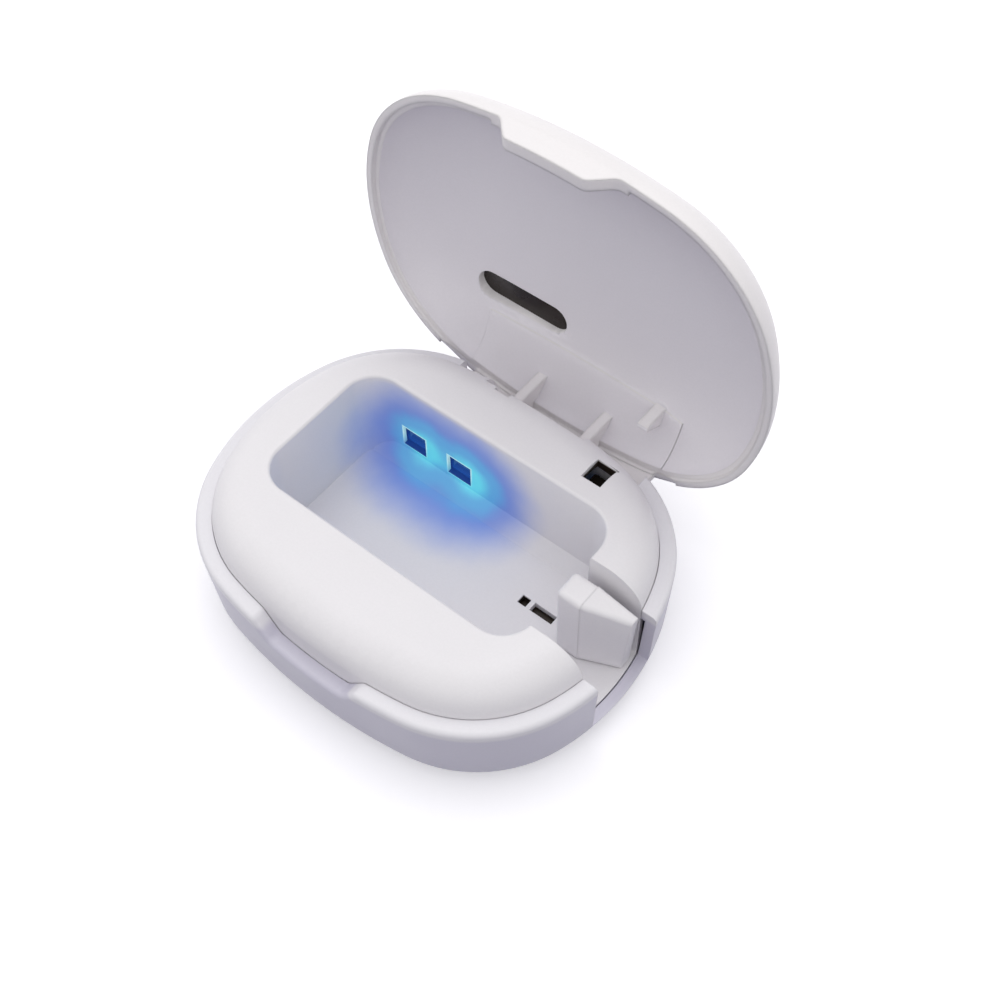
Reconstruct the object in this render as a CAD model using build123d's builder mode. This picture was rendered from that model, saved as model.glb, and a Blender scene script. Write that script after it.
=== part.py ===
from build123d import *
from math import acos, atan2, cos, hypot, radians, sin, sqrt
import os

os.makedirs("parts", exist_ok=True)

# A pocket case that cleans what lies in it with ultraviolet light: a base with an open chamber,
# a domed lid on a rear hinge, and a sprung gate in the slot at its right end.
# Frame: origin under the centre of the case, on the plane of its four feet, +X towards the exit
# slot, +Y towards the hinge, +Z up. Millimetres. The lid is built where it stands when it is open.

# How far a cut or a joining solid runs past the surface that it crosses
overcut = 1.0

# Case outline: an oval of eight arcs, long in X
case_length = 84.0
case_depth = 67.6
long_arc_radius = 105.0
end_arc_radius = 45.0
corner_arc_radius = 26.5

# Base
base_height = 18.5
foot_height = 0.4
floor_top_z = 2.2
wall = 2.2
wall_draft = 2.5
bottom_edge_radius = 4.8
rim_width = 3.0
rim_lip_height = 2.5
rim_edge_radius = 1.0

# Deck: the crowned inner plate with the chamber, the exit channel and the hinge bay
deck_gap = 0.1
deck_plate = 1.8
deck_skirt = 2.0
crown_height = 5.8
crown_width = 7.0
chamber_from_left_end = 13.6
chamber_from_right_end = 14.6
chamber_from_front = 20.5
chamber_from_back = 17.4
chamber_corner_radius = 6.0
chamber_floor_z = 4.0
chamber_draft = 1.5
chamber_edge_radius = 0.6
floor_bevel_out = 3.6
floor_bevel_up = 2.4
tub_wall = 1.6
tub_floor = 1.4
exit_width = 16.0

# Drain openings in the chamber floor, placed from its right end and its back
drain_from_back = 12.1
drain_width = 1.8
drain_square_from_right = 10.9
drain_slot_from_right = 6.7
drain_slot_length = 4.8

# Hinge
hinge_from_back = 3.6
hinge_below_rim = 3.6
hinge_pin_radius = 0.8
running_clearance = 0.04
open_angle = 90.0
bay_left = -19.0
bay_right = 23.0
bay_front_gap = 0.3
bay_floor_below_rim = 8.0
bay_wall = 1.4
back_cut_below_rim = 7.8
arm_width = 2.0
arm_left_x = -6.1
arm_right_x = 9.1
arm_eye_radius = 2.6
arm_slot_margin = 1.3
lug_width = 2.0
lug_gap = 0.3
lug_eye_radius = 1.5
relief_length = 3.2
relief_depth = 1.0

# Lid
lid_height = 10.8
lid_dome_width = 17.2
lid_wall = 2.2
lid_ceiling = 8.4
lid_ceiling_width = 18.0
lid_step_height = 0.8
lid_step_width = 0.9
rim_relief_gap = 0.1
hinge_pad_past_bay = (1.0, 0.5)
hinge_pad_depth = 12.8
hinge_pad_height = 0.3
arm_root_share = 0.4
peg_root_share = 0.3
tail_depth = 5.0
tail_inset = 0.1
tail_thickness = 1.0
tail_gap = 0.4

# Dip in the front rim for the thumb, and the lid's lip that fills it
dip_depth = 3.9
dip_length = 15.5
dip_slope = 3.5
dip_bend_radius = 1.8
ledge_thickness = 1.2
lip_gap = 0.2

# Window in the lid
window_x = -13.5
window_from_back = 18.0
window_length = 20.0
window_width = 6.0
window_recess = 0.8
window_gap = 0.05

# Switch that senses the closed lid
switch_from_right_end = 23.7
switch_from_back = 11.05
switch_hole = (4.0, 4.9)
peg_width = 2.2
peg_front_gap = 0.4
peg_tip_above_rim = 1.6
peg_tip_thickness = 1.0
peg_root_thickness = 3.4
plunger_gap = 0.15
plunger_size = 2.4
plunger_show = 1.2
plunger_hidden = 1.6
plunger_edge_radius = 0.3
switch_body_size = (5.2, 5.4, 4.6)
switch_body_edge_radius = 0.4
switch_shelf = 1.4

# Ultraviolet lamps behind the chamber's back wall, placed from its left end
lamp_from_chamber_left = (9.6, 20.4)
lamp_below_rim = 8.7
lamp_opening = (5.4, 5.0)
lamp_glass_margin = 0.6
lamp_glass_thickness = 0.8
led_size = 3.5
led_height = 1.8
led_lens_radius = 1.5
led_air_gap = 0.6
led_board_size = (16.0, 10.0)
led_board_thickness = 1.0
led_board_corner_radius = 0.6
led_rail_width = 3.6

# Gate
gate_from_right_end = 16.1
gate_length = 13.0
gate_front = 0.7
gate_thickness = 5.4
gate_above_rim = 3.0
gate_crease_from_left = 4.9
gate_end_above_rim = 1.1
gate_floor_gap = 0.3
gate_edge_radius = 1.0
gate_back_edge_radius = 0.5
gate_crease_step = 0.1
gate_end_lean = 1.0
gate_end_thickness = 1.8
gate_pin_from_left = 5.3
gate_pin_above_floor = (4.4, 10.0)
gate_pin_radius = 0.8
gate_pin_reach = 13.3
gate_pin_seat = 1.0
gate_guide_length = 4.5
spring_wire_radius = 0.2
spring_radius = 1.45
spring_turns = 5
spring_room = 0.4
spring_pocket_depth = 3.2
spring_end_gap = 0.1

# Screws that hold the deck to the base, with a soft plug over each head as a foot
screw_from_ends = 17.8
screw_from_front = 14.6
screw_from_back = 12.8
post_radius = 2.6
post_top_z = 7.0
boss_radius = 2.3
screw_radius = 0.85
screw_clearance = 0.2
screw_length = 8.0
screw_head_radius = 1.6
screw_head_height = 1.2
screw_cross_length = 2.0
screw_cross_width = 0.4
screw_cross_depth = 0.6
head_room = 0.2
plug_thickness = 1.3

# Cell, charging board and socket
cell_size = (35.0, 11.5, 6.5)
cell_from_front = 6.45
cell_edge_radius = 1.9
cell_pad_thickness = 0.5
cell_pad_margin = 1.0
cell_rib_top_z = 3.4
cell_rib_width = 1.6
cell_rib_spacing = 24.0
board_size = (7.0, 22.0)
board_thickness = 1.0
board_corner_radius = 0.8
board_top_z = 9.2
board_from_left_end = 4.3
board_rib_width = 2.4
board_rib_spacing = 17.0
board_screw_radius = 0.7
board_screw_head_radius = 1.3
board_screw_head_height = 0.8
board_screw_length = 3.2
socket_size = (7.3, 8.9, 3.2)
socket_recess = 0.5
socket_gap = 0.2
socket_wall = 0.3
socket_back_wall = 1.0
socket_tongue_width = 6.6
socket_tongue_thickness = 0.7
socket_tongue_recess = 0.8

dome_angles = (0, 15, 30, 45, 60, 75, 90)

half_length = case_length / 2
half_depth = case_depth / 2
rim_z = base_height
chamber_left = chamber_from_left_end - half_length
chamber_right = half_length - chamber_from_right_end
chamber_front = chamber_from_front - half_depth
chamber_back = half_depth - chamber_from_back
drain_y = chamber_back - drain_from_back
drain_square_x = chamber_right - drain_square_from_right
drain_slot_x = chamber_right - drain_slot_from_right
hinge_y = half_depth - hinge_from_back
hinge_z = rim_z - hinge_below_rim
deck_inset = rim_width + deck_gap
tub_bottom_z = chamber_floor_z - tub_floor
crown_top_z = rim_z + crown_height
bay_front_y = hinge_y - arm_eye_radius - bay_front_gap
bay_floor_z = rim_z - bay_floor_below_rim
exit_half = exit_width / 2
gate_back = gate_front + gate_thickness
gate_left = half_length - gate_from_right_end
gate_pin_x = gate_left + gate_pin_from_left
gate_pin_z = [chamber_floor_z + z for z in gate_pin_above_floor]
lamp_z = rim_z - lamp_below_rim
lamp_x = [chamber_left + x for x in lamp_from_chamber_left]
switch_x = half_length - switch_from_right_end
switch_y = half_depth - switch_from_back
screw_x = half_length - screw_from_ends
screw_front_y = screw_from_front - half_depth
screw_back_y = half_depth - screw_from_back
screw_places = [(x, y) for y in (screw_front_y, screw_back_y) for x in (-screw_x, screw_x)]
cell_centre_y = cell_from_front + cell_size[1] / 2 - half_depth
board_left = board_from_left_end - half_length

rim_plane = Plane.XY.offset(rim_z)
turn = radians(open_angle)
lid_plane = Plane(
    origin=(
        0,
        hinge_y * (1 - cos(turn)) + hinge_below_rim * sin(turn),
        hinge_z + hinge_y * sin(turn) + hinge_below_rim * cos(turn),
    ),
    x_dir=(1, 0, 0),
    z_dir=(0, sin(turn), cos(turn)),
)


def corner_centre():
    """Centre of the corner arc that touches the long arc and the end arc."""
    long_y = half_depth - long_arc_radius
    end_x = half_length - end_arc_radius
    to_long = long_arc_radius - corner_arc_radius
    to_end = end_arc_radius - corner_arc_radius
    span = hypot(end_x, long_y)
    along = (to_end**2 - to_long**2 + span**2) / (2 * span)
    aside = sqrt(to_end**2 - along**2)
    ux, uy = -end_x / span, long_y / span
    return end_x + along * ux - aside * uy, along * uy + aside * ux


def oval_back_y(x):
    """Back edge of the case outline at x, on its long arc."""
    return half_depth - long_arc_radius + sqrt(long_arc_radius**2 - x**2)


def oval_back_x(y):
    """Where the case outline's long arc, carried on, comes forward to y."""
    return sqrt(long_arc_radius**2 - (y - half_depth + long_arc_radius) ** 2)


def case_oval(inset):
    """Sketch of the case outline, drawn inwards by inset."""
    long_y = half_depth - long_arc_radius
    end_x = half_length - end_arc_radius
    cx, cy = corner_centre()
    long_angle = atan2(cy - long_y, cx)
    end_angle = atan2(cy, cx - end_x)
    mid_angle = (long_angle + end_angle) / 2
    long_r = long_arc_radius - inset
    end_r = end_arc_radius - inset
    corner_r = corner_arc_radius - inset
    ax, ay = long_r * cos(long_angle), long_y + long_r * sin(long_angle)
    bx, by = end_x + end_r * cos(end_angle), end_r * sin(end_angle)
    mx, my = cx + corner_r * cos(mid_angle), cy + corner_r * sin(mid_angle)
    with BuildSketch(mode=Mode.PRIVATE) as oval:
        with BuildLine():
            ThreePointArc((-ax, ay), (0, half_depth - inset), (ax, ay))
            ThreePointArc((ax, ay), (mx, my), (bx, by))
            ThreePointArc((bx, by), (half_length - inset, 0), (bx, -by))
            ThreePointArc((bx, -by), (mx, -my), (ax, -ay))
            ThreePointArc((ax, -ay), (0, inset - half_depth), (-ax, -ay))
            ThreePointArc((-ax, -ay), (-mx, -my), (-bx, -by))
            ThreePointArc((-bx, -by), (inset - half_length, 0), (-bx, by))
            ThreePointArc((-bx, by), (-mx, my), (-ax, ay))
        make_face()
    return oval.sketch


def dome_body(base, inset, height, width, skirt):
    """Solid over the oval: an upright skirt below the base plane and a quarter ellipse above it."""
    with BuildPart() as dome:
        with BuildSketch(base.offset(-skirt)):
            add(case_oval(inset))
        extrude(amount=skirt)
        for angle in dome_angles:
            rise = height * sin(radians(angle))
            step = width * (1 - cos(radians(angle)))
            with BuildSketch(base.offset(rise)):
                add(case_oval(inset + step))
        loft()
    return dome.part


def dome_rise(inset, height, width):
    """Height of a quarter-ellipse dome at a distance in from its edge."""
    return height * sin(acos(max(0.0, 1 - inset / width)))


def cavity_body(gap):
    """Hollow of the base below its lip, drawn inwards by gap."""
    top_z = rim_z - rim_lip_height
    with BuildPart() as cavity:
        with BuildSketch(Plane.XY.offset(top_z)):
            add(case_oval(wall + gap))
        extrude(amount=-(top_z - floor_top_z - gap), taper=wall_draft)
        floor_edges = cavity.faces().sort_by(Axis.Z)[0].edges()
        fillet(floor_edges, bottom_edge_radius - wall)
    return cavity.part


def thumb_dip(gap):
    """Sketch of the dip in the rim, drawn inwards by gap: its ends slope down to a level bottom."""
    half_low = dip_length / 2 - gap
    half_top = half_low + dip_slope
    half_whole = half_top + dip_bend_radius
    with BuildSketch(mode=Mode.PRIVATE) as dip:
        with BuildLine():
            Polyline(
                (-half_whole, overcut),
                (-half_whole, 0),
                (-half_top, 0),
                (-half_low, gap - dip_depth),
                (half_low, gap - dip_depth),
                (half_top, 0),
                (half_whole, 0),
                (half_whole, overcut),
                close=True,
            )
        make_face()
        bends = dip.vertices().filter_by(lambda corner: abs(corner.X) < half_top + dip_bend_radius / 2)
        fillet(bends, dip_bend_radius)
    return dip.sketch


def outside_of(outline, edge):
    """Whether the middle of an edge, seen from above, lies outside a flat outline."""
    middle = edge.center()
    return not outline.is_inside(Vector(middle.X, middle.Y, 0))


def side_plane(frame, x):
    """Plane across the frame at x: its own X runs along the frame's Y, and its Y along the frame's Z."""
    return Plane(origin=frame.from_local_coords((x, 0, 0)), x_dir=frame.y_dir, z_dir=frame.x_dir)


# Base shell
with BuildPart() as base_shell:
    with BuildSketch(rim_plane):
        add(case_oval(0))
    extrude(amount=foot_height - base_height, taper=wall_draft)
    fillet(base_shell.faces().sort_by(Axis.Z)[0].edges(), bottom_edge_radius)
    add(cavity_body(0), mode=Mode.SUBTRACT)
    # ledge under the floor of the thumb recess
    with BuildSketch(Plane.XY.offset(rim_z - rim_lip_height)):
        add(case_oval(wall / 2))
        add(case_oval(rim_width), mode=Mode.SUBTRACT)
        with Locations((0, -half_depth)):
            Rectangle(dip_length + 2 * dip_slope, 2 * wall + 2 * rim_width, mode=Mode.INTERSECT)
    extrude(amount=rim_lip_height - dip_depth - ledge_thickness)
    # thumb recess in the front rim
    dip_back_y = rim_width + overcut - half_depth
    with BuildSketch(Plane(origin=(0, dip_back_y, rim_z), x_dir=(1, 0, 0), z_dir=(0, -1, 0))):
        add(thumb_dip(0))
    extrude(amount=rim_width + 2 * overcut, mode=Mode.SUBTRACT)
    # soft outer edge along the rim, down through the recess
    inside = case_oval(rim_edge_radius).face()
    low_rim_z = rim_z - dip_depth - overcut
    high_edges = base_shell.edges().filter_by(lambda edge: edge.center().Z > low_rim_z)
    fillet(high_edges.filter_by(lambda edge: outside_of(inside, edge)), rim_edge_radius)
    with BuildSketch(rim_plane):
        add(case_oval(rim_width))
    extrude(amount=-rim_lip_height, mode=Mode.SUBTRACT)
    # screw posts, cell ribs and board ribs
    with BuildSketch(Plane.XY.offset(floor_top_z / 2)):
        with Locations(*screw_places):
            Circle(post_radius)
    extrude(amount=post_top_z - floor_top_z / 2)
    with BuildSketch(Plane.XY.offset(floor_top_z / 2)):
        with Locations((0, cell_centre_y)):
            with GridLocations(cell_rib_spacing, 0, 2, 1):
                Rectangle(cell_rib_width, cell_size[1])
    extrude(amount=cell_rib_top_z - floor_top_z / 2)
    with BuildSketch(Plane.XY.offset(board_top_z - board_thickness)):
        with Locations((board_left + board_size[0] / 2, 0)):
            with GridLocations(0, board_rib_spacing, 1, 2):
                Rectangle(board_size[0], board_rib_width)
    extrude(until=Until.NEXT, dir=(0, 0, -1))
    # slot where the neck comes out
    with BuildSketch(Plane.XY.offset(chamber_floor_z)):
        with Locations((half_length, 0)):
            Rectangle(half_length, exit_width)
    extrude(amount=base_height, mode=Mode.SUBTRACT)
    # opening in the back wall for the lid's hinge tail
    with BuildSketch(rim_plane):
        with Locations(((bay_left + bay_right) / 2, half_depth)):
            Rectangle(bay_right - bay_left, 2 * (half_depth - bay_front_y))
    extrude(amount=-back_cut_below_rim, mode=Mode.SUBTRACT)
    # screw holes with deep heads
    with BuildSketch():
        with Locations(*screw_places):
            Circle(screw_radius + screw_clearance)
    extrude(amount=post_top_z, mode=Mode.SUBTRACT)
    with BuildSketch():
        with Locations(*screw_places):
            Circle(screw_head_radius + head_room)
    extrude(amount=plug_thickness + screw_head_height, mode=Mode.SUBTRACT)
    # pilot holes for the board screws
    with BuildSketch(Plane.XY.offset(board_top_z - board_thickness)):
        with Locations((board_left + board_size[0] / 2, 0)):
            with GridLocations(0, board_rib_spacing, 1, 2):
                Circle(board_screw_radius)
    extrude(amount=-(board_screw_length - board_thickness), mode=Mode.SUBTRACT)
    # hole for the charging socket
    with BuildSketch(Plane.YZ.offset(-half_length - overcut)):
        with Locations((0, board_top_z + socket_size[2] / 2)):
            SlotOverall(socket_size[1] + 2 * socket_gap, socket_size[2] + 2 * socket_gap)
    extrude(amount=half_length + overcut + board_left, mode=Mode.SUBTRACT)
base_shell.part.label = "base_shell"
export_step(base_shell.part, "parts/base_shell.step")


def crown_body(plate, skirt):
    """Solid inside the deck's outer surface, thinner all round by plate."""
    return dome_body(rim_plane, deck_inset + plate, crown_height - plate, crown_width - plate / 2, skirt)


tub_length = chamber_right - chamber_left
tub_depth = chamber_back - chamber_front
tub_centre = ((chamber_left + chamber_right) / 2, (chamber_front + chamber_back) / 2)
bay_centre_x = (bay_left + bay_right) / 2
bay_length = bay_right - bay_left
guide_middle_z = (gate_pin_z[0] + gate_pin_z[1]) / 2
guide_height = gate_pin_z[1] - gate_pin_z[0] + 2 * (gate_pin_radius + tub_wall)
switch_top_z = rim_z + peg_tip_above_rim - plunger_gap - plunger_show
switch_bottom_z = switch_top_z - switch_body_size[2]
led_board_y = chamber_back + tub_wall + led_air_gap + led_height
lamp_middle_x = (lamp_x[0] + lamp_x[1]) / 2
lamp_glass_length = lamp_opening[0] + 2 * lamp_glass_margin
lamp_glass_height = lamp_opening[1] + 2 * lamp_glass_margin

# Room under the deck's plate: what is left solid in it is the tub, the exit channel, the hinge
# bay, the screw bosses, the wall behind the thumb recess, the gate's guide, the switch shelf and
# the rail of the lamp board
with BuildPart() as deck_hollow:
    add(crown_body(deck_plate, deck_skirt))
    with BuildSketch(Plane.XY.offset(tub_bottom_z - overcut)):
        add(case_oval(rim_width - overcut))
    extrude(amount=rim_z - deck_skirt - tub_bottom_z + overcut)
    with BuildSketch(Plane.XY.offset(tub_bottom_z)):
        with Locations(tub_centre):
            RectangleRounded(tub_length + 2 * tub_wall, tub_depth + 2 * tub_wall, chamber_corner_radius)
        with Locations((half_length, 0)):
            Rectangle(2 * (half_length - chamber_right), exit_width + 2 * tub_wall)
    extrude(amount=crown_top_z - tub_bottom_z, mode=Mode.SUBTRACT)
    with BuildSketch(Plane.XY.offset(bay_floor_z - bay_wall)):
        with Locations((bay_centre_x, half_depth)):
            Rectangle(bay_length + 2 * bay_wall, 2 * (half_depth - bay_front_y + bay_wall))
    extrude(amount=crown_top_z - bay_floor_z + bay_wall, mode=Mode.SUBTRACT)
    with BuildSketch(Plane.XY.offset(post_top_z)):
        with Locations(*screw_places):
            Circle(boss_radius)
    extrude(amount=crown_top_z - post_top_z, mode=Mode.SUBTRACT)
    with BuildSketch(Plane.XY.offset(rim_z - dip_depth - ledge_thickness)):
        add(case_oval(rim_width))
        add(case_oval(deck_inset + tub_wall), mode=Mode.SUBTRACT)
        with Locations((0, -half_depth)):
            Rectangle(dip_length + 2 * dip_slope, 2 * deck_inset + 4 * tub_wall, mode=Mode.INTERSECT)
    extrude(amount=dip_depth + ledge_thickness, mode=Mode.SUBTRACT)
    with BuildSketch(Plane.XZ.offset(-exit_half)):
        with Locations((gate_pin_x, guide_middle_z)):
            Rectangle(2 * (gate_pin_radius + tub_wall), guide_height)
    extrude(amount=-gate_guide_length, mode=Mode.SUBTRACT)
    with BuildSketch(Plane.XY.offset(switch_bottom_z - switch_shelf)):
        with Locations((switch_x, (chamber_back + bay_front_y) / 2)):
            Rectangle(switch_body_size[0] + tub_wall, bay_front_y - chamber_back)
    extrude(amount=switch_shelf, mode=Mode.SUBTRACT)
    with BuildSketch(Plane.XZ.offset(-chamber_back)):
        with Locations((lamp_middle_x, lamp_z)):
            Rectangle(led_rail_width, led_board_size[1])
    extrude(amount=-(led_board_y - chamber_back), mode=Mode.SUBTRACT)

# What the deck's walls may not reach: outside the base's hollow, low down
with BuildPart() as base_corner:
    with BuildSketch():
        add(case_oval(0))
    extrude(amount=rim_z - rim_lip_height)
    add(cavity_body(deck_gap), mode=Mode.SUBTRACT)

with BuildPart() as inner_deck:
    add(crown_body(0, rim_z - tub_bottom_z))
    add(deck_hollow.part, mode=Mode.SUBTRACT)
    add(base_corner.part, mode=Mode.SUBTRACT)
    # chamber, with drafted walls and a bevel between its back wall and its floor
    with BuildSketch(Plane.XY.offset(crown_top_z)):
        with Locations(tub_centre):
            RectangleRounded(tub_length, tub_depth, chamber_corner_radius)
    extrude(amount=-(crown_top_z - chamber_floor_z), taper=chamber_draft, mode=Mode.SUBTRACT)
    # soft edge round the top of the chamber, before the exit channel cuts it
    fillet(inner_deck.faces().sort_by(Axis.Z)[-1].inner_wires()[0].edges(), chamber_edge_radius)
    # exit channel
    with BuildSketch(Plane.XY.offset(chamber_floor_z)):
        with Locations((half_length, 0)):
            Rectangle(2 * (half_length - tub_centre[0] - tub_length / 4), exit_width)
    extrude(amount=crown_top_z, mode=Mode.SUBTRACT)
    with BuildSketch(Plane.YZ.offset(chamber_left)):
        with BuildLine():
            Polyline(
                (chamber_back + tub_wall / 2, chamber_floor_z),
                (chamber_back + tub_wall / 2, chamber_floor_z + floor_bevel_up),
                (chamber_back - tub_wall / 4, chamber_floor_z + floor_bevel_up),
                (chamber_back - floor_bevel_out, chamber_floor_z),
                close=True,
            )
        make_face()
    extrude(amount=tub_length)
    # drains
    with BuildSketch(Plane.XY.offset(tub_bottom_z)):
        with Locations((drain_square_x, drain_y)):
            Rectangle(drain_width, drain_width)
        with Locations((drain_slot_x, drain_y)):
            Rectangle(drain_slot_length, drain_width)
    extrude(amount=chamber_floor_z, mode=Mode.SUBTRACT)
    # hinge bay, open at the top where the lid's arms pass
    with BuildSketch(Plane.XY.offset(bay_floor_z)):
        with Locations((bay_centre_x, half_depth)):
            Rectangle(bay_length, 2 * (half_depth - bay_front_y))
    extrude(amount=rim_z - deck_skirt - bay_floor_z, mode=Mode.SUBTRACT)
    arm_slot_left = arm_left_x - arm_width / 2 - arm_slot_margin - lug_width
    arm_slot_right = arm_right_x + arm_width / 2 + arm_slot_margin
    with BuildSketch(Plane.XY.offset(bay_floor_z)):
        with Locations(((arm_slot_left + arm_slot_right) / 2, half_depth)):
            Rectangle(arm_slot_right - arm_slot_left, 2 * (half_depth - bay_front_y))
    extrude(amount=crown_top_z, mode=Mode.SUBTRACT)
    # lugs that carry the hinge pin, outside the two arms
    lug_left_x = arm_left_x - arm_width / 2 - lug_gap - lug_width / 2
    lug_right_x = arm_right_x + arm_width / 2 + lug_gap + lug_width / 2
    for lug_x in (lug_left_x, lug_right_x):
        with BuildSketch(side_plane(Plane.XY, lug_x)):
            with Locations((hinge_y, hinge_z)):
                Circle(lug_eye_radius)
            with Locations(((hinge_y + bay_front_y - bay_wall / 2) / 2, hinge_z)):
                Rectangle(hinge_y - bay_front_y + bay_wall / 2, 2 * lug_eye_radius)
        extrude(amount=lug_width / 2, both=True)
    with BuildSketch(Plane.YZ.offset(lug_left_x - lug_width)):
        with Locations((hinge_y, hinge_z)):
            Circle(hinge_pin_radius)
    extrude(amount=lug_right_x - lug_left_x + 2 * lug_width, mode=Mode.SUBTRACT)
    # small relief in the deck's rear edge before the left arm
    with BuildSketch(Plane.XY.offset(rim_z - deck_skirt)):
        with Locations((arm_left_x, bay_front_y)):
            Rectangle(relief_length, 2 * relief_depth)
    extrude(amount=crown_top_z, mode=Mode.SUBTRACT)
    # hole for the lid's peg
    with BuildSketch(Plane.XY.offset(switch_top_z)):
        with Locations((switch_x, switch_y)):
            Rectangle(*switch_hole)
    extrude(amount=crown_top_z, mode=Mode.SUBTRACT)
    # lamp windows, with a rebate for the glass on the far side
    for x in lamp_x:
        with BuildSketch(Plane.XZ.offset(-(chamber_back + tub_wall + overcut / 2))):
            with Locations((x, lamp_z)):
                Rectangle(*lamp_opening)
        extrude(amount=2 * tub_wall, mode=Mode.SUBTRACT)
        with BuildSketch(Plane.XZ.offset(-(chamber_back + tub_wall))):
            with Locations((x, lamp_z)):
                Rectangle(lamp_glass_length, lamp_glass_height)
        extrude(amount=lamp_glass_thickness, mode=Mode.SUBTRACT)
    # pilot hole for the screw of the lamp board
    with BuildSketch(Plane.XZ.offset(-led_board_y)):
        with Locations((lamp_middle_x, lamp_z)):
            Circle(board_screw_radius)
    extrude(amount=board_screw_length - led_board_thickness, mode=Mode.SUBTRACT)
    # pilot holes for the case screws
    with BuildSketch(Plane.XY.offset(post_top_z)):
        with Locations(*screw_places):
            Circle(screw_radius)
    extrude(amount=screw_length, mode=Mode.SUBTRACT)
    # holes for the gate's pins
    with BuildSketch(Plane.XZ.offset(-(exit_half + gate_guide_length + overcut / 2))):
        with Locations(*[(gate_pin_x, z) for z in gate_pin_z]):
            Circle(gate_pin_radius + running_clearance)
    extrude(amount=gate_guide_length + overcut, mode=Mode.SUBTRACT)
inner_deck.part.label = "inner_deck"
export_step(inner_deck.part, "parts/inner_deck.step")

# Lid shell, drawn in the closed lid's coordinates on the plane of its rim
arm_back_y = half_depth - tail_inset - tail_thickness
arm_top_y = (bay_front_y + arm_back_y) / 2


def lid_middle_rise(y, share):
    """Height at y inside the lid's wall, on its centre line: share 0 is its ceiling, 1 its outside."""
    inner = dome_rise(half_depth - y - lid_wall, lid_ceiling, lid_ceiling_width)
    outer = dome_rise(half_depth - y, lid_height, lid_dome_width)
    return inner + share * (outer - inner)


def lid_dome(gap):
    """Solid under the lid's ceiling, smaller all round by gap."""
    return dome_body(lid_plane, lid_wall + gap, lid_ceiling - gap, lid_ceiling_width, overcut)


with BuildPart() as lid_ceiling_body:
    add(lid_dome(0))
    with BuildSketch(lid_plane.offset(-overcut)):
        add(case_oval(lid_wall - lid_step_width))
    extrude(amount=overcut + lid_step_height)

# Low pad on the inside of the lid, round the roots of the arms and the peg
with BuildPart() as hinge_pad:
    add(lid_dome(-hinge_pad_height))
    hinge_pad_left = bay_left - hinge_pad_past_bay[0]
    hinge_pad_right = bay_right + hinge_pad_past_bay[1]
    with BuildSketch(lid_plane.offset(lid_step_height)):
        with Locations(((hinge_pad_left + hinge_pad_right) / 2, half_depth)):
            Rectangle(hinge_pad_right - hinge_pad_left, 2 * hinge_pad_depth)
    extrude(amount=lid_height, mode=Mode.INTERSECT)
    add(lid_dome(hinge_pad_height), mode=Mode.SUBTRACT)

# Lip that fills the thumb recess
with BuildPart() as thumb_lip:
    with BuildSketch(lid_plane.offset(lid_step_height)):
        add(case_oval(0))
        add(case_oval(lid_wall), mode=Mode.SUBTRACT)
    extrude(amount=-(lid_step_height + dip_depth))
    lid_front = lid_plane.from_local_coords((0, -half_depth - overcut, 0))
    with BuildSketch(Plane(origin=lid_front, x_dir=lid_plane.x_dir, z_dir=-lid_plane.y_dir)):
        add(thumb_dip(lip_gap))
    extrude(amount=-(overcut + 2 * rim_width), mode=Mode.INTERSECT)

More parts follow.
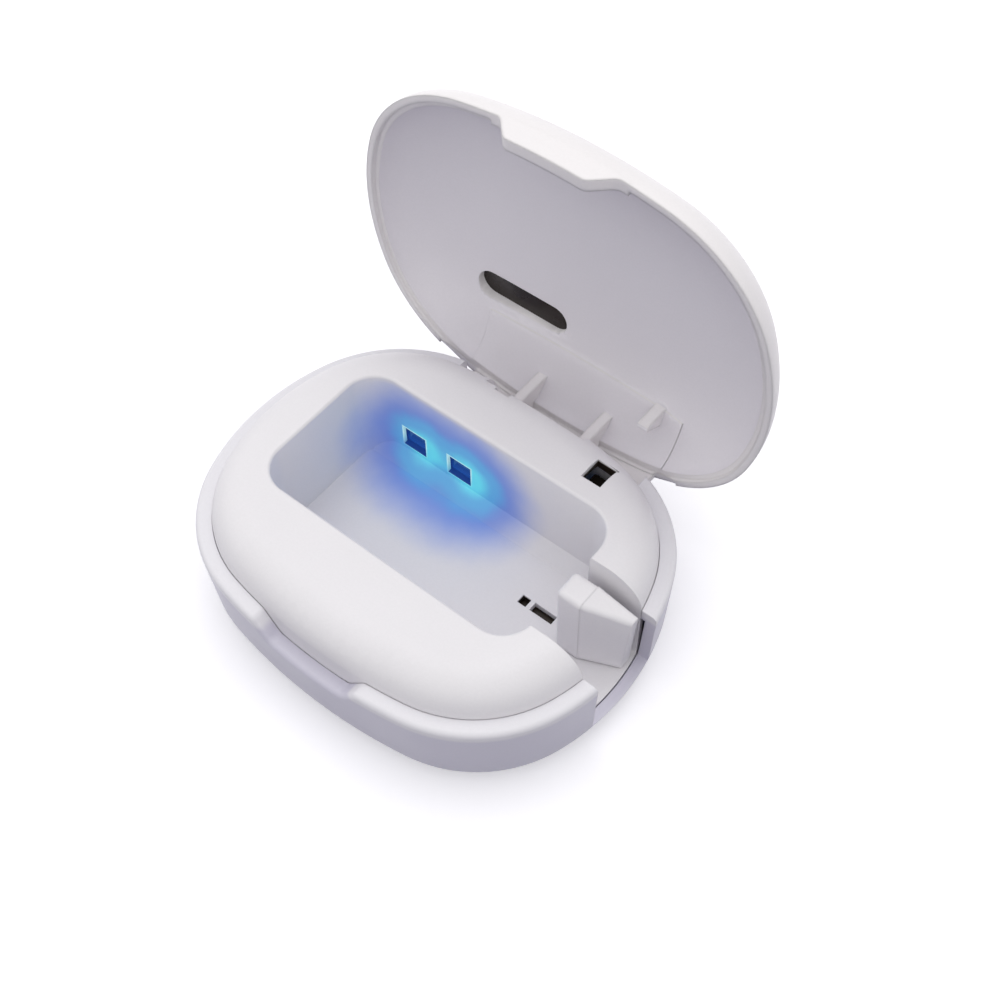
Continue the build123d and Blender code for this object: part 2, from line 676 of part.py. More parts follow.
with BuildPart() as lid_shell:
    add(dome_body(lid_plane, 0, lid_height, lid_dome_width, overcut))
    with BuildSketch(lid_plane):
        add(case_oval(-overcut))
    extrude(amount=-overcut, mode=Mode.SUBTRACT)
    add(lid_ceiling_body.part, mode=Mode.SUBTRACT)
    add(hinge_pad.part)
    # relief round the hinge's axis, so that the rim beside the tail clears the base as it turns
    swing_radius = hypot(oval_back_y(bay_left) - hinge_y, hinge_below_rim) + rim_relief_gap
    relief_end_x = oval_back_x(hinge_y)
    for near_x, far_x in ((bay_left + tail_gap, -relief_end_x), (bay_right - tail_gap, relief_end_x)):
        with BuildSketch(side_plane(lid_plane, near_x)):
            with Locations((hinge_y, -hinge_below_rim)):
                Circle(swing_radius)
        extrude(amount=far_x - near_x, mode=Mode.SUBTRACT)
    # tail that fills the opening in the base's back wall
    with BuildSketch(lid_plane.offset(lid_step_height / 2)):
        add(case_oval(tail_inset))
        add(case_oval(tail_inset + tail_thickness), mode=Mode.SUBTRACT)
        with Locations((bay_centre_x, half_depth)):
            Rectangle(bay_length - 2 * tail_gap, half_depth, mode=Mode.INTERSECT)
    extrude(amount=-(tail_depth + lid_step_height / 2))
    add(thumb_lip.part)
    # arms that turn on the hinge pin
    for arm_x in (arm_left_x, arm_right_x):
        with BuildSketch(side_plane(lid_plane, arm_x)):
            with Locations((hinge_y, -hinge_below_rim)):
                Circle(arm_eye_radius)
            with BuildLine():
                Polyline(
                    (hinge_y - arm_eye_radius, -hinge_below_rim),
                    (hinge_y - arm_eye_radius, lid_middle_rise(hinge_y - arm_eye_radius, arm_root_share)),
                    (arm_top_y, lid_middle_rise(arm_top_y, arm_root_share)),
                    (arm_back_y, dome_rise(half_depth - arm_back_y, lid_height, lid_dome_width) / 2),
                    (arm_back_y, -hinge_below_rim),
                    close=True,
                )
            make_face()
        extrude(amount=arm_width / 2, both=True)
    with BuildSketch(side_plane(lid_plane, arm_left_x - arm_width)):
        with Locations((hinge_y, -hinge_below_rim)):
            Circle(hinge_pin_radius + running_clearance)
    extrude(amount=arm_right_x - arm_left_x + 2 * arm_width, mode=Mode.SUBTRACT)
    # peg that presses the switch
    peg_front_y = switch_y - switch_hole[1] / 2 + peg_front_gap
    peg_back_y = peg_front_y + peg_root_thickness
    with BuildSketch(side_plane(lid_plane, switch_x)):
        with BuildLine():
            Polyline(
                (peg_front_y, peg_tip_above_rim),
                (peg_front_y, lid_middle_rise(peg_front_y, peg_root_share)),
                (peg_back_y, lid_middle_rise(peg_back_y, peg_root_share)),
                (peg_back_y, crown_height),
                (peg_front_y + peg_tip_thickness, peg_tip_above_rim),
                close=True,
            )
        make_face()
    extrude(amount=peg_width / 2, both=True)
    # window opening
    with BuildSketch(lid_plane):
        with Locations((window_x, half_depth - window_from_back)):
            SlotOverall(window_length, window_width)
    extrude(amount=lid_height + overcut, mode=Mode.SUBTRACT)
lid_shell.part.label = "lid_shell"
export_step(lid_shell.part, "parts/lid_shell.step")

# Dark window set in the lid, flush with the outside of the dome
with BuildPart() as lid_window:
    add(dome_body(lid_plane, 0, lid_height, lid_dome_width, overcut))
    with BuildSketch(lid_plane.offset(lid_ceiling + window_recess)):
        with Locations((window_x, half_depth - window_from_back)):
            SlotOverall(window_length - 2 * window_gap, window_width - 2 * window_gap)
    extrude(amount=lid_height, mode=Mode.INTERSECT)
lid_window.part.label = "lid_window"
export_step(lid_window.part, "parts/lid_window.step")

# Hinge pin, held in the deck's two lugs
with BuildPart() as hinge_pin:
    with BuildSketch(Plane.YZ.offset(lug_left_x - lug_width / 2)):
        with Locations((hinge_y, hinge_z)):
            Circle(hinge_pin_radius)
    extrude(amount=lug_right_x - lug_left_x + lug_width)
    chamfer(hinge_pin.edges(), hinge_pin_radius / 4)
hinge_pin.part.label = "hinge_pin"
export_step(hinge_pin.part, "parts/hinge_pin.step")

# Gate: a block with a raised head that slides across the exit slot
gate_bottom_z = chamber_floor_z + gate_floor_gap
gate_right = gate_left + gate_length
crease_x = gate_left + gate_crease_from_left

# Right half of the gate: its front slants back and its top slopes down to the thin right end
with BuildPart() as gate_wedge:
    with BuildSketch(Plane.XZ.offset(-gate_back)):
        with BuildLine():
            Polyline(
                (crease_x, gate_bottom_z),
                (crease_x, rim_z + gate_above_rim - gate_crease_step),
                (gate_right, rim_z + gate_end_above_rim),
                (gate_right - gate_end_lean, gate_bottom_z),
                close=True,
            )
        make_face()
    extrude(amount=gate_thickness)
    with BuildSketch(Plane.XY.offset(gate_bottom_z)):
        with BuildLine():
            Polyline(
                (crease_x, gate_front + gate_crease_step),
                (gate_right, gate_back - gate_end_thickness),
                (gate_right, gate_back),
                (crease_x, gate_back),
                close=True,
            )
        make_face()
    extrude(amount=base_height, mode=Mode.INTERSECT)
    long_edges = gate_wedge.edges().filter_by(lambda edge: edge.length > gate_thickness)
    top_edges = long_edges.filter_by(lambda edge: edge.center().Z > rim_z).sort_by(Axis.Y)
    fillet(top_edges[-1], gate_back_edge_radius)
    fillet(long_edges.filter_by(lambda edge: edge.center().Z > rim_z).sort_by(Axis.Y)[0], gate_edge_radius)

with BuildPart() as neck_gate:
    with BuildSketch(Plane.XY.offset(gate_bottom_z)):
        with Locations(((gate_left + crease_x) / 2, (gate_front + gate_back) / 2)):
            Rectangle(gate_crease_from_left, gate_thickness)
    extrude(amount=rim_z + gate_above_rim - gate_bottom_z)
    top_edges = neck_gate.edges().group_by(Axis.Z)[-1]
    left_edges = neck_gate.edges().filter_by(Axis.Z).group_by(Axis.X)[0]
    fillet(top_edges.filter_by(Axis.X) + top_edges.filter_by(Axis.Y).sort_by(Axis.X)[0:1] + left_edges,
           gate_edge_radius)
    add(gate_wedge.part)
    with BuildSketch(Plane.XZ.offset(-gate_back)):
        with Locations(*[(gate_pin_x, z) for z in gate_pin_z]):
            Circle(spring_radius + spring_room)
    extrude(amount=spring_pocket_depth, mode=Mode.SUBTRACT)
    with BuildSketch(Plane.XZ.offset(-gate_back)):
        with Locations(*[(gate_pin_x, z) for z in gate_pin_z]):
            Circle(gate_pin_radius)
    extrude(amount=spring_pocket_depth + gate_pin_seat, mode=Mode.SUBTRACT)
neck_gate.part.label = "neck_gate"
export_step(neck_gate.part, "parts/neck_gate.step")

# Guide pins of the gate, each with a spring that pushes the gate towards the front
for name, z in zip(("lower", "upper"), gate_pin_z):
    pin_start_y = gate_back - spring_pocket_depth - gate_pin_seat
    with BuildPart() as gate_pin:
        with BuildSketch(Plane.XZ.offset(-pin_start_y)):
            with Locations((gate_pin_x, z)):
                Circle(gate_pin_radius)
        extrude(amount=-(gate_back + gate_pin_reach - pin_start_y))
        chamfer(gate_pin.edges().sort_by(Axis.Y)[-1], gate_pin_radius / 4)
    gate_pin.part.label = f"gate_pin_{name}"
    export_step(gate_pin.part, f"parts/gate_pin_{name}.step")

    spring_start_y = gate_back - spring_pocket_depth + spring_end_gap + spring_wire_radius
    spring_length = exit_half - spring_end_gap - spring_wire_radius - spring_start_y
    with BuildPart() as gate_spring:
        with BuildLine() as spring_path:
            Helix(
                pitch=spring_length / spring_turns,
                height=spring_length,
                radius=spring_radius,
                center=(gate_pin_x, spring_start_y, z),
                direction=(0, 1, 0),
            )
        with BuildSketch(Plane(spring_path.line @ 0, z_dir=spring_path.line % 0)):
            Circle(spring_wire_radius)
        sweep(is_frenet=True)
    gate_spring.part.label = f"gate_spring_{name}"
    export_step(gate_spring.part, f"parts/gate_spring_{name}.step")
print("gap between the spring's turns", round(spring_length / spring_turns - 2 * spring_wire_radius, 3))

# Lid switch: a body on its shelf and a plunger that the peg presses
with BuildPart() as switch_body:
    with BuildSketch(Plane.XY.offset(switch_bottom_z)):
        with Locations((switch_x, switch_y)):
            Rectangle(switch_body_size[0], switch_body_size[1])
    extrude(amount=switch_body_size[2])
    fillet(switch_body.edges().filter_by(Axis.Z), switch_body_edge_radius)
    with BuildSketch(Plane.XY.offset(switch_top_z)):
        with Locations((switch_x, peg_front_y + plunger_size / 2 - peg_front_gap / 2)):
            Rectangle(plunger_size + 2 * running_clearance, plunger_size + 2 * running_clearance)
    extrude(amount=-(plunger_hidden + overcut), mode=Mode.SUBTRACT)
switch_body.part.label = "switch_body"
export_step(switch_body.part, "parts/switch_body.step")

with BuildPart() as switch_plunger:
    with BuildSketch(Plane.XY.offset(switch_top_z - plunger_hidden)):
        with Locations((switch_x, peg_front_y + plunger_size / 2 - peg_front_gap / 2)):
            Rectangle(plunger_size, plunger_size)
    extrude(amount=plunger_hidden + plunger_show)
    fillet(switch_plunger.faces().sort_by(Axis.Z)[-1].edges(), plunger_edge_radius)
switch_plunger.part.label = "switch_plunger"
export_step(switch_plunger.part, "parts/switch_plunger.step")

# Ultraviolet lamps: glass in the chamber's back wall, a lamp behind each, and their board
for name, x in zip(("left", "right"), lamp_x):
    with BuildPart() as uv_window:
        with BuildSketch(Plane.XZ.offset(-(chamber_back + tub_wall))):
            with Locations((x, lamp_z)):
                Rectangle(lamp_glass_length - 2 * window_gap, lamp_glass_height - 2 * window_gap)
        extrude(amount=lamp_glass_thickness)
    uv_window.part.label = f"uv_window_{name}"
    export_step(uv_window.part, f"parts/uv_window_{name}.step")

    with BuildPart() as uv_led:
        with BuildSketch(Plane.XZ.offset(-led_board_y)):
            with Locations((x, lamp_z)):
                Rectangle(led_size, led_size)
        extrude(amount=led_height / 2)
        with BuildSketch(Plane.XZ.offset(-(led_board_y - led_height / 2))):
            with Locations((x, lamp_z)):
                Circle(led_lens_radius)
        extrude(amount=led_height / 2)
    uv_led.part.label = f"uv_led_{name}"
    export_step(uv_led.part, f"parts/uv_led_{name}.step")

with BuildPart() as led_board:
    with BuildSketch(Plane.XZ.offset(-(led_board_y + led_board_thickness))):
        with Locations((lamp_middle_x, lamp_z)):
            Rectangle(*led_board_size)
            Circle(board_screw_radius, mode=Mode.SUBTRACT)
    extrude(amount=led_board_thickness)
    fillet(led_board.edges().filter_by(Axis.Y).filter_by(GeomType.LINE), led_board_corner_radius)
led_board.part.label = "led_board"
export_step(led_board.part, "parts/led_board.step")

# Screw that holds the lamp board to its rail
with BuildPart() as lamp_board_screw:
    with BuildSketch(Plane.XZ.offset(-(led_board_y + led_board_thickness + board_screw_head_height))):
        with Locations((lamp_middle_x, lamp_z)):
            Circle(board_screw_head_radius)
    extrude(amount=board_screw_head_height)
    with BuildSketch(Plane.XZ.offset(-(led_board_y + led_board_thickness))):
        with Locations((lamp_middle_x, lamp_z)):
            Circle(board_screw_radius)
    extrude(amount=board_screw_length)
lamp_board_screw.part.label = "lamp_board_screw"
export_step(lamp_board_screw.part, "parts/lamp_board_screw.step")

# Charging board on its two ribs, with the socket that faces the left wall
board_centre_x = board_left + board_size[0] / 2
with BuildPart() as main_board:
    with BuildSketch(Plane.XY.offset(board_top_z - board_thickness)):
        with Locations((board_centre_x, 0)):
            RectangleRounded(*board_size, board_corner_radius)
    extrude(amount=board_thickness)
    with BuildSketch(Plane.XY.offset(board_top_z)):
        with Locations((board_centre_x, 0)):
            with GridLocations(0, board_rib_spacing, 1, 2):
                Circle(board_screw_radius)
    extrude(amount=-board_thickness, mode=Mode.SUBTRACT)
main_board.part.label = "main_board"
export_step(main_board.part, "parts/main_board.step")

with BuildPart() as board_screws:
    with BuildSketch(Plane.XY.offset(board_top_z)):
        with Locations((board_centre_x, 0)):
            with GridLocations(0, board_rib_spacing, 1, 2):
                Circle(board_screw_head_radius)
    extrude(amount=board_screw_head_height)
    with BuildSketch(Plane.XY.offset(board_top_z)):
        with Locations((board_centre_x, 0)):
            with GridLocations(0, board_rib_spacing, 1, 2):
                Circle(board_screw_radius)
    extrude(amount=-board_screw_length)
board_screws.part.label = "board_screws"
export_step(board_screws.part, "parts/board_screws.step")

socket_left = -half_length + socket_recess + (rim_z - board_top_z) * sin(radians(wall_draft))
with BuildPart() as charging_socket:
    with BuildSketch(Plane.YZ.offset(socket_left)):
        with Locations((0, board_top_z + socket_size[2] / 2)):
            SlotOverall(socket_size[1], socket_size[2])
    extrude(amount=socket_size[0])
    with BuildSketch(Plane.YZ.offset(socket_left)):
        with Locations((0, board_top_z + socket_size[2] / 2)):
            SlotOverall(socket_size[1] - 2 * socket_wall, socket_size[2] - 2 * socket_wall)
    extrude(amount=socket_size[0] - socket_back_wall, mode=Mode.SUBTRACT)
    with BuildSketch(Plane.YZ.offset(socket_left + socket_tongue_recess)):
        with Locations((0, board_top_z + socket_size[2] / 2)):
            Rectangle(socket_tongue_width, socket_tongue_thickness)
    extrude(amount=socket_size[0] - socket_tongue_recess - socket_back_wall / 2)
charging_socket.part.label = "charging_socket"
export_step(charging_socket.part, "parts/charging_socket.step")

# Flat cell on its ribs in the front of the base
with BuildPart() as cell_pad:
    with BuildSketch(Plane.XY.offset(cell_rib_top_z)):
        with Locations((0, cell_centre_y)):
            Rectangle(cell_rib_spacing + cell_rib_width, cell_size[1] - 2 * cell_pad_margin)
    extrude(amount=cell_pad_thickness)
cell_pad.part.label = "cell_pad"
export_step(cell_pad.part, "parts/cell_pad.step")

with BuildPart() as battery_cell:
    with BuildSketch(Plane.XY.offset(cell_rib_top_z + cell_pad_thickness)):
        with Locations((0, cell_centre_y)):
            Rectangle(cell_size[0], cell_size[1])
    extrude(amount=cell_size[2])
    fillet(battery_cell.edges().filter_by(Axis.X), cell_edge_radius)
battery_cell.part.label = "battery_cell"
export_step(battery_cell.part, "parts/battery_cell.step")

# Case screws and the plugs over their heads
screw_seat_z = plug_thickness + screw_head_height
with BuildPart() as case_screws:
    with BuildSketch(Plane.XY.offset(plug_thickness)):
        with Locations(*screw_places):
            Circle(screw_head_radius)
    extrude(amount=screw_head_height)
    with BuildSketch(Plane.XY.offset(screw_seat_z)):
        with Locations(*screw_places):
            Circle(screw_radius)
    extrude(amount=screw_length)
    with BuildSketch(Plane.XY.offset(plug_thickness)):
        with Locations(*screw_places):
            Rectangle(screw_cross_length, screw_cross_width)
            Rectangle(screw_cross_width, screw_cross_length)
    extrude(amount=screw_cross_depth, mode=Mode.SUBTRACT)
case_screws.part.label = "case_screws"
export_step(case_screws.part, "parts/case_screws.step")

with BuildPart() as screw_plugs:
    with BuildSketch():
        with Locations(*screw_places):
            Circle(screw_head_radius + head_room - window_gap)
    extrude(amount=plug_thickness)
screw_plugs.part.label = "screw_plugs"
export_step(screw_plugs.part, "parts/screw_plugs.step")
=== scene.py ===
from math import cos, pi, radians, sin

import bmesh
import bpy
from bpy.props import FloatProperty, FloatVectorProperty, IntProperty, PointerProperty
from mathutils import Matrix, Vector


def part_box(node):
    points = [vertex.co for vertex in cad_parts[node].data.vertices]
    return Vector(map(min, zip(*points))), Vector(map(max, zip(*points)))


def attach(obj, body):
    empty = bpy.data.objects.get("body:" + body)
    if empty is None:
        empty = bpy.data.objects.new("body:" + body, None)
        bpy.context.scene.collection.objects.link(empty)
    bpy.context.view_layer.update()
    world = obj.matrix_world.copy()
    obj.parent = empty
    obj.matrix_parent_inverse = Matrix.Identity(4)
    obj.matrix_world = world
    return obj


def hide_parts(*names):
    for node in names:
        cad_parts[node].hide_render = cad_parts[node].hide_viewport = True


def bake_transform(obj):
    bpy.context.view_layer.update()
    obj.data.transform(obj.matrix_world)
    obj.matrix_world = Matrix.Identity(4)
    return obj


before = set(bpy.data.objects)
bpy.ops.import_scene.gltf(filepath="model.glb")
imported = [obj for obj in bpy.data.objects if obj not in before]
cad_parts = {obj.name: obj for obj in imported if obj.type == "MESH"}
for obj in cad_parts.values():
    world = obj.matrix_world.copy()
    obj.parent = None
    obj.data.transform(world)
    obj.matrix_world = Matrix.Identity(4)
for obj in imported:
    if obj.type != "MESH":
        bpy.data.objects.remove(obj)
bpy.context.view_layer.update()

# Looks of an oval pocket case that cleans with ultraviolet light. Metres, in the frame's own axes:
# +X towards the exit slot, +Y towards the hinge, +Z up.

bl_info = {
    "name": "Ultraviolet case finishes",
    "version": (1, 0, 0),
    "blender": (4, 5, 0),
    "location": "3D View > Sidebar > Case",
    "description": "Finishes and small fittings for an oval ultraviolet cleaning case",
    "category": "Object",
}

MM = 0.001

# Holes painted dark inside as shade: the switch's hole in the deck, the square drain and the long drain.
# Each has its middle in x and y, its size in x and y, and the height where the dark starts, in mm.
SHADED_PITS = (
    (18.3, 22.95, 4.0, 4.9, 23.5),
    (16.5, 4.5, 1.8, 1.8, 3.8),
    (20.7, 4.5, 4.8, 1.8, 2.9),
)

rim_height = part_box("base_shell")[1].z
deck_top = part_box("inner_deck")[1].z


def box_centre(node):
    """Middle of a node's box."""
    low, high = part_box(node)
    return (low + high) / 2


# Properties


class PlasticLook(bpy.types.PropertyGroup):
    """Colours and surface of the moulded shells."""

    case_colour: FloatVectorProperty(
        name="Case", description="Colour of the base's plastic", subtype="COLOR", size=3, min=0, max=1,
        default=(0.80, 0.785, 0.825),
    )
    # painted shade: the base's wall under its rim is darker and more lilac than the rim
    wall_shade_colour: FloatVectorProperty(
        name="Case wall", description="Colour of the base's wall under its rim", subtype="COLOR", size=3,
        min=0, max=1, default=(0.64, 0.62, 0.72),
    )
    rim_band: FloatProperty(
        name="Rim band", description="How far the rim's colour reaches down the wall", unit="LENGTH",
        default=1.3 * MM, min=0, max=10 * MM,
    )
    deck_colour: FloatVectorProperty(
        name="Deck", description="Colour of the deck and the gate", subtype="COLOR", size=3, min=0, max=1,
        default=(0.82, 0.80, 0.825),
    )
    lid_colour: FloatVectorProperty(
        name="Lid", description="Colour of the lid's outside", subtype="COLOR", size=3, min=0, max=1,
        default=(0.87, 0.84, 0.85),
    )
    # painted shade: a darker copy of the lid's colour for the faces that look into the lid
    inside_shade_colour: FloatVectorProperty(
        name="Lid inside", description="Colour of the lid's inside", subtype="COLOR", size=3, min=0, max=1,
        default=(0.83, 0.80, 0.845),
    )
    inside_shade_depth: FloatProperty(
        name="Lining depth", description="From the lid's back to where the lining starts", unit="LENGTH",
        default=9.99 * MM, min=1 * MM, max=20 * MM,
    )
    # painted shade down in the switch hole and the drains
    pit_shade_colour: FloatVectorProperty(
        name="Pits", description="Colour down in the switch hole and the drains", subtype="COLOR", size=3,
        min=0, max=1, default=(0.026, 0.016, 0.011),
    )
    grain_size: FloatProperty(
        name="Grain size", description="Size of the moulded grain", unit="LENGTH",
        default=0.28 * MM, min=0.05 * MM, max=2 * MM,
    )
    grain_depth: FloatProperty(
        name="Grain depth", description="Depth of the moulded grain", unit="LENGTH",
        default=0.006 * MM, min=0, max=0.1 * MM,
    )
    edge_radius: FloatProperty(
        name="Edge radius", description="Softness of the moulded edges", unit="LENGTH",
        default=0.22 * MM, min=0, max=1 * MM,
    )
    sharp_angle: FloatProperty(
        name="Sharp angle", description="Faces that meet at more than this keep a hard edge",
        subtype="ANGLE", default=radians(28), min=0, max=pi,
    )


class GlowLook(bpy.types.PropertyGroup):
    """The lamps' light painted on the chamber's walls."""

    halo_colour: FloatVectorProperty(
        name="Halo", description="Colour at the glow's edge", subtype="COLOR", size=3, min=0, max=1,
        default=(0.148, 0.235, 0.595),
    )
    middle_colour: FloatVectorProperty(
        name="Middle", description="Colour between halo and core", subtype="COLOR", size=3, min=0, max=1,
        default=(0.120, 0.395, 0.680),
    )
    core_colour: FloatVectorProperty(
        name="Core", description="Colour next to the lamps", subtype="COLOR", size=3, min=0, max=1,
        default=(0.155, 0.740, 0.830),
    )
    # painted highlight on the edge round a lamp window
    lit_edge_colour: FloatVectorProperty(
        name="Window edge", description="Colour of the lit edge round a lamp window", subtype="COLOR",
        size=3, min=0, max=1, default=(0.62, 0.98, 0.93),
    )
    # painted shade on the sill and the deep jamb of a lamp window
    sill_shade_colour: FloatVectorProperty(
        name="Window sill", description="Colour of the sill under a lamp window", subtype="COLOR", size=3,
        min=0, max=1, default=(0.012, 0.055, 0.26),
    )
    reach: FloatProperty(
        name="Reach", description="How far the glow reaches from a lamp", unit="LENGTH",
        default=20 * MM, min=1 * MM, max=60 * MM,
    )
    drift: FloatProperty(
        name="Drift", description="How far the glow lies towards the slot from its lamp", unit="LENGTH",
        default=2.4 * MM, min=-10 * MM, max=10 * MM,
    )
    strength: FloatProperty(
        name="Strength", description="Emission of the glow", default=0.30, min=0, max=10,
    )
    opening_size: FloatVectorProperty(
        name="Window opening", description="Length and height of a lamp's opening in the wall", size=2,
        unit="LENGTH", default=(5.4 * MM, 5.0 * MM),
    )


class FittingLook(bpy.types.PropertyGroup):
    """Sizes of the small fittings that repeat."""

    coil_turns: IntProperty(
        name="Coil turns", description="Turns of a gate spring", default=7, min=3, max=20,
    )
    wire_radius: FloatProperty(
        name="Wire radius", description="Radius of the spring wire", unit="LENGTH",
        default=0.17 * MM, min=0.05 * MM, max=1 * MM,
    )
    coil_radius: FloatProperty(
        name="Coil radius", description="Radius of the coil's centreline", unit="LENGTH",
        default=1.42 * MM, min=0.3 * MM, max=5 * MM,
    )
    contact_count: IntProperty(
        name="Contacts", description="Contacts on each side of the tongue", default=12, min=2,
    )
    contact_pitch: FloatProperty(
        name="Contact pitch", description="Spacing of the contacts", unit="LENGTH",
        default=0.5 * MM, min=0.1 * MM,
    )


class StudioLook(bpy.types.PropertyGroup):
    """Camera, floor and lamps."""

    view_azimuth: FloatProperty(
        name="Azimuth", description="Camera's turn round the case", subtype="ANGLE",
        default=radians(40.4174),
    )
    view_elevation: FloatProperty(
        name="Elevation", description="Camera's height angle", subtype="ANGLE", default=radians(55.1185),
    )
    view_roll: FloatProperty(
        name="Roll", description="Camera's turn about its own line of sight", subtype="ANGLE",
        default=radians(-1.8979),
    )
    view_distance: FloatProperty(
        name="Distance", description="From the camera to the plane of the rim's centre", unit="LENGTH",
        default=241.3206 * MM,
    )
    view_pan: FloatVectorProperty(
        name="Pan", description="Camera's shift to its right and up", size=2, unit="LENGTH",
        default=(11.4821 * MM, 4.0056 * MM),
    )
    lens: FloatProperty(name="Lens", description="Focal length on a 36 mm sensor", default=50.5668, min=1)
    floor_colour: FloatVectorProperty(
        name="Floor", description="Colour of the floor", subtype="COLOR", size=3, min=0, max=1,
        default=(0.86, 0.85, 0.89),
    )
    floor_shade: FloatVectorProperty(
        name="Floor shade", description="Colour of the light that the floor throws back",
        subtype="COLOR", size=3, min=0, max=1, default=(0.06, 0.055, 0.13),
    )
    floor_light: FloatProperty(
        name="Floor light", description="Emission that keeps the seen floor white", default=0.32, min=0,
    )
    sky_strength: FloatProperty(name="Sky", description="Strength of the even light", default=0.86, min=0)
    key_power: FloatProperty(
        name="Key power", description="Power of the overhead lamp", unit="POWER", default=0.85,
    )
    rim_power: FloatProperty(
        name="Rim power", description="Power of the side lamp", unit="POWER", default=0.15,
    )


LOOKS = {
    "case_plastic": PlasticLook,
    "case_glow": GlowLook,
    "case_fittings": FittingLook,
    "case_studio": StudioLook,
}


# Node trees


def put(tree, kind, inputs=None, **settings):
    """Add a node. An input is set to a value, or linked where the value is another node's output."""
    made = tree.nodes.new(kind)
    for name, value in settings.items():
        setattr(made, name, value)
    for name, value in (inputs or {}).items():
        if isinstance(value, bpy.types.NodeSocket):
            tree.links.new(value, made.inputs[name])
        else:
            made.inputs[name].default_value = value
    return made


def calc(tree, operation, *values, clamp=False):
    """Output of a math node on one to three values or sockets."""
    kind = "ShaderNodeMath"
    inputs = dict(enumerate(values))
    return put(tree, kind, inputs, operation=operation, use_clamp=clamp).outputs[0]


def remap(tree, value, low, high, to_low=0.0, to_high=1.0, smooth=False):
    """Value moved from one range to another and held inside it."""
    inputs = {"Value": value, "From Min": low, "From Max": high, "To Min": to_low, "To Max": to_high}
    shape = "SMOOTHSTEP" if smooth else "LINEAR"
    return put(tree, "ShaderNodeMapRange", inputs, interpolation_type=shape).outputs["Result"]


def noise(tree, vector, scale, detail=2.0, roughness=0.5):
    """Value of a noise texture."""
    inputs = {"Vector": vector, "Scale": scale, "Detail": detail, "Roughness": roughness}
    return put(tree, "ShaderNodeTexNoise", inputs).outputs["Fac"]


def blend_colours(tree, share, first, second, mode="MIX"):
    """Colour between two colours or sockets."""
    made = put(tree, "ShaderNodeMix", {"Factor": share}, data_type="RGBA", blend_type=mode)
    for socket, value in ((made.inputs[6], first), (made.inputs[7], second)):
        if isinstance(value, bpy.types.NodeSocket):
            tree.links.new(value, socket)
        else:
            socket.default_value = (*value[:3], 1)
    return made.outputs[2]


def shift_colour(tree, value, low, high, first, second):
    """Colour that goes from the first to the second as a value goes from low to high."""
    return blend_colours(tree, remap(tree, value, low, high), first, second)


def open_group(name, kind, sockets):
    """New node group with its named sockets: (name, direction, socket type, default)."""
    tree = bpy.data.node_groups.new(name, kind)
    for label, direction, socket_type, default in sockets:
        socket = tree.interface.new_socket(label, in_out=direction, socket_type=socket_type)
        if default is not None:
            socket.default_value = default
    return tree, put(tree, "NodeGroupInput"), put(tree, "NodeGroupOutput")


def moulded_grain_group():
    """Fine grain of a moulding tool, with the slow clouds and speckle of a moulded colour."""
    tree, given, result = open_group("moulded_grain", "ShaderNodeTree", [
        ("Vector", "INPUT", "NodeSocketVector", None),
        ("Grain Scale", "INPUT", "NodeSocketFloat", 3500.0),
        ("Cloud Scale", "INPUT", "NodeSocketFloat", 60.0),
        ("Speckle Scale", "INPUT", "NodeSocketFloat", 2300.0),
        ("Height", "OUTPUT", "NodeSocketFloat", None),
        ("Tone", "OUTPUT", "NodeSocketFloat", None),
    ])
    vector = given.outputs["Vector"]
    fine = noise(tree, vector, given.outputs["Grain Scale"], detail=2.0, roughness=0.6)
    clouds = noise(tree, vector, given.outputs["Cloud Scale"], detail=3.0)
    speckle = noise(tree, vector, given.outputs["Speckle Scale"], detail=1.0)
    cloud_tone = remap(tree, clouds, 0.3, 0.7, 0.985, 1.0)
    speckle_tone = remap(tree, speckle, 0.3, 0.7, 0.982, 1.0)
    tree.links.new(fine, result.inputs["Height"])
    tree.links.new(calc(tree, "MULTIPLY", cloud_tone, speckle_tone), result.inputs["Tone"])


def handling_marks_group():
    """Hairline scratches and faint smudges of a thing that is carried about."""
    tree, given, result = open_group("handling_marks", "ShaderNodeTree", [
        ("Vector", "INPUT", "NodeSocketVector", None),
        ("Patch Scale", "INPUT", "NodeSocketFloat", 130.0),
        ("Smudge Scale", "INPUT", "NodeSocketFloat", 85.0),
        ("Scratches", "OUTPUT", "NodeSocketFloat", None),
        ("Smudges", "OUTPUT", "NodeSocketFloat", None),
    ])
    vector = given.outputs["Vector"]
    # each set of scratches has its turn and the scale of its noise along each axis
    scratch_sets = ((0.4, (160, 5200, 160)), (1.9, (190, 190, 4700)))
    lines = 0.0
    for turn, stretch in scratch_sets:
        turned = put(tree, "ShaderNodeMapping", {
            "Vector": vector, "Rotation": (turn, turn / 2, turn), "Scale": stretch,
        }).outputs["Vector"]
        hair = noise(tree, turned, 1.0, detail=0.0)
        lines = calc(tree, "MAXIMUM", remap(tree, hair, 0.76, 0.80), lines)
    spread = noise(tree, vector, given.outputs["Patch Scale"], detail=1.0)
    patches = remap(tree, spread, 0.48, 0.68, smooth=True)
    touched = noise(tree, vector, given.outputs["Smudge Scale"], detail=3.0, roughness=0.6)
    tree.links.new(calc(tree, "MULTIPLY", lines, patches), result.inputs["Scratches"])
    tree.links.new(remap(tree, touched, 0.35, 0.75, smooth=True), result.inputs["Smudges"])


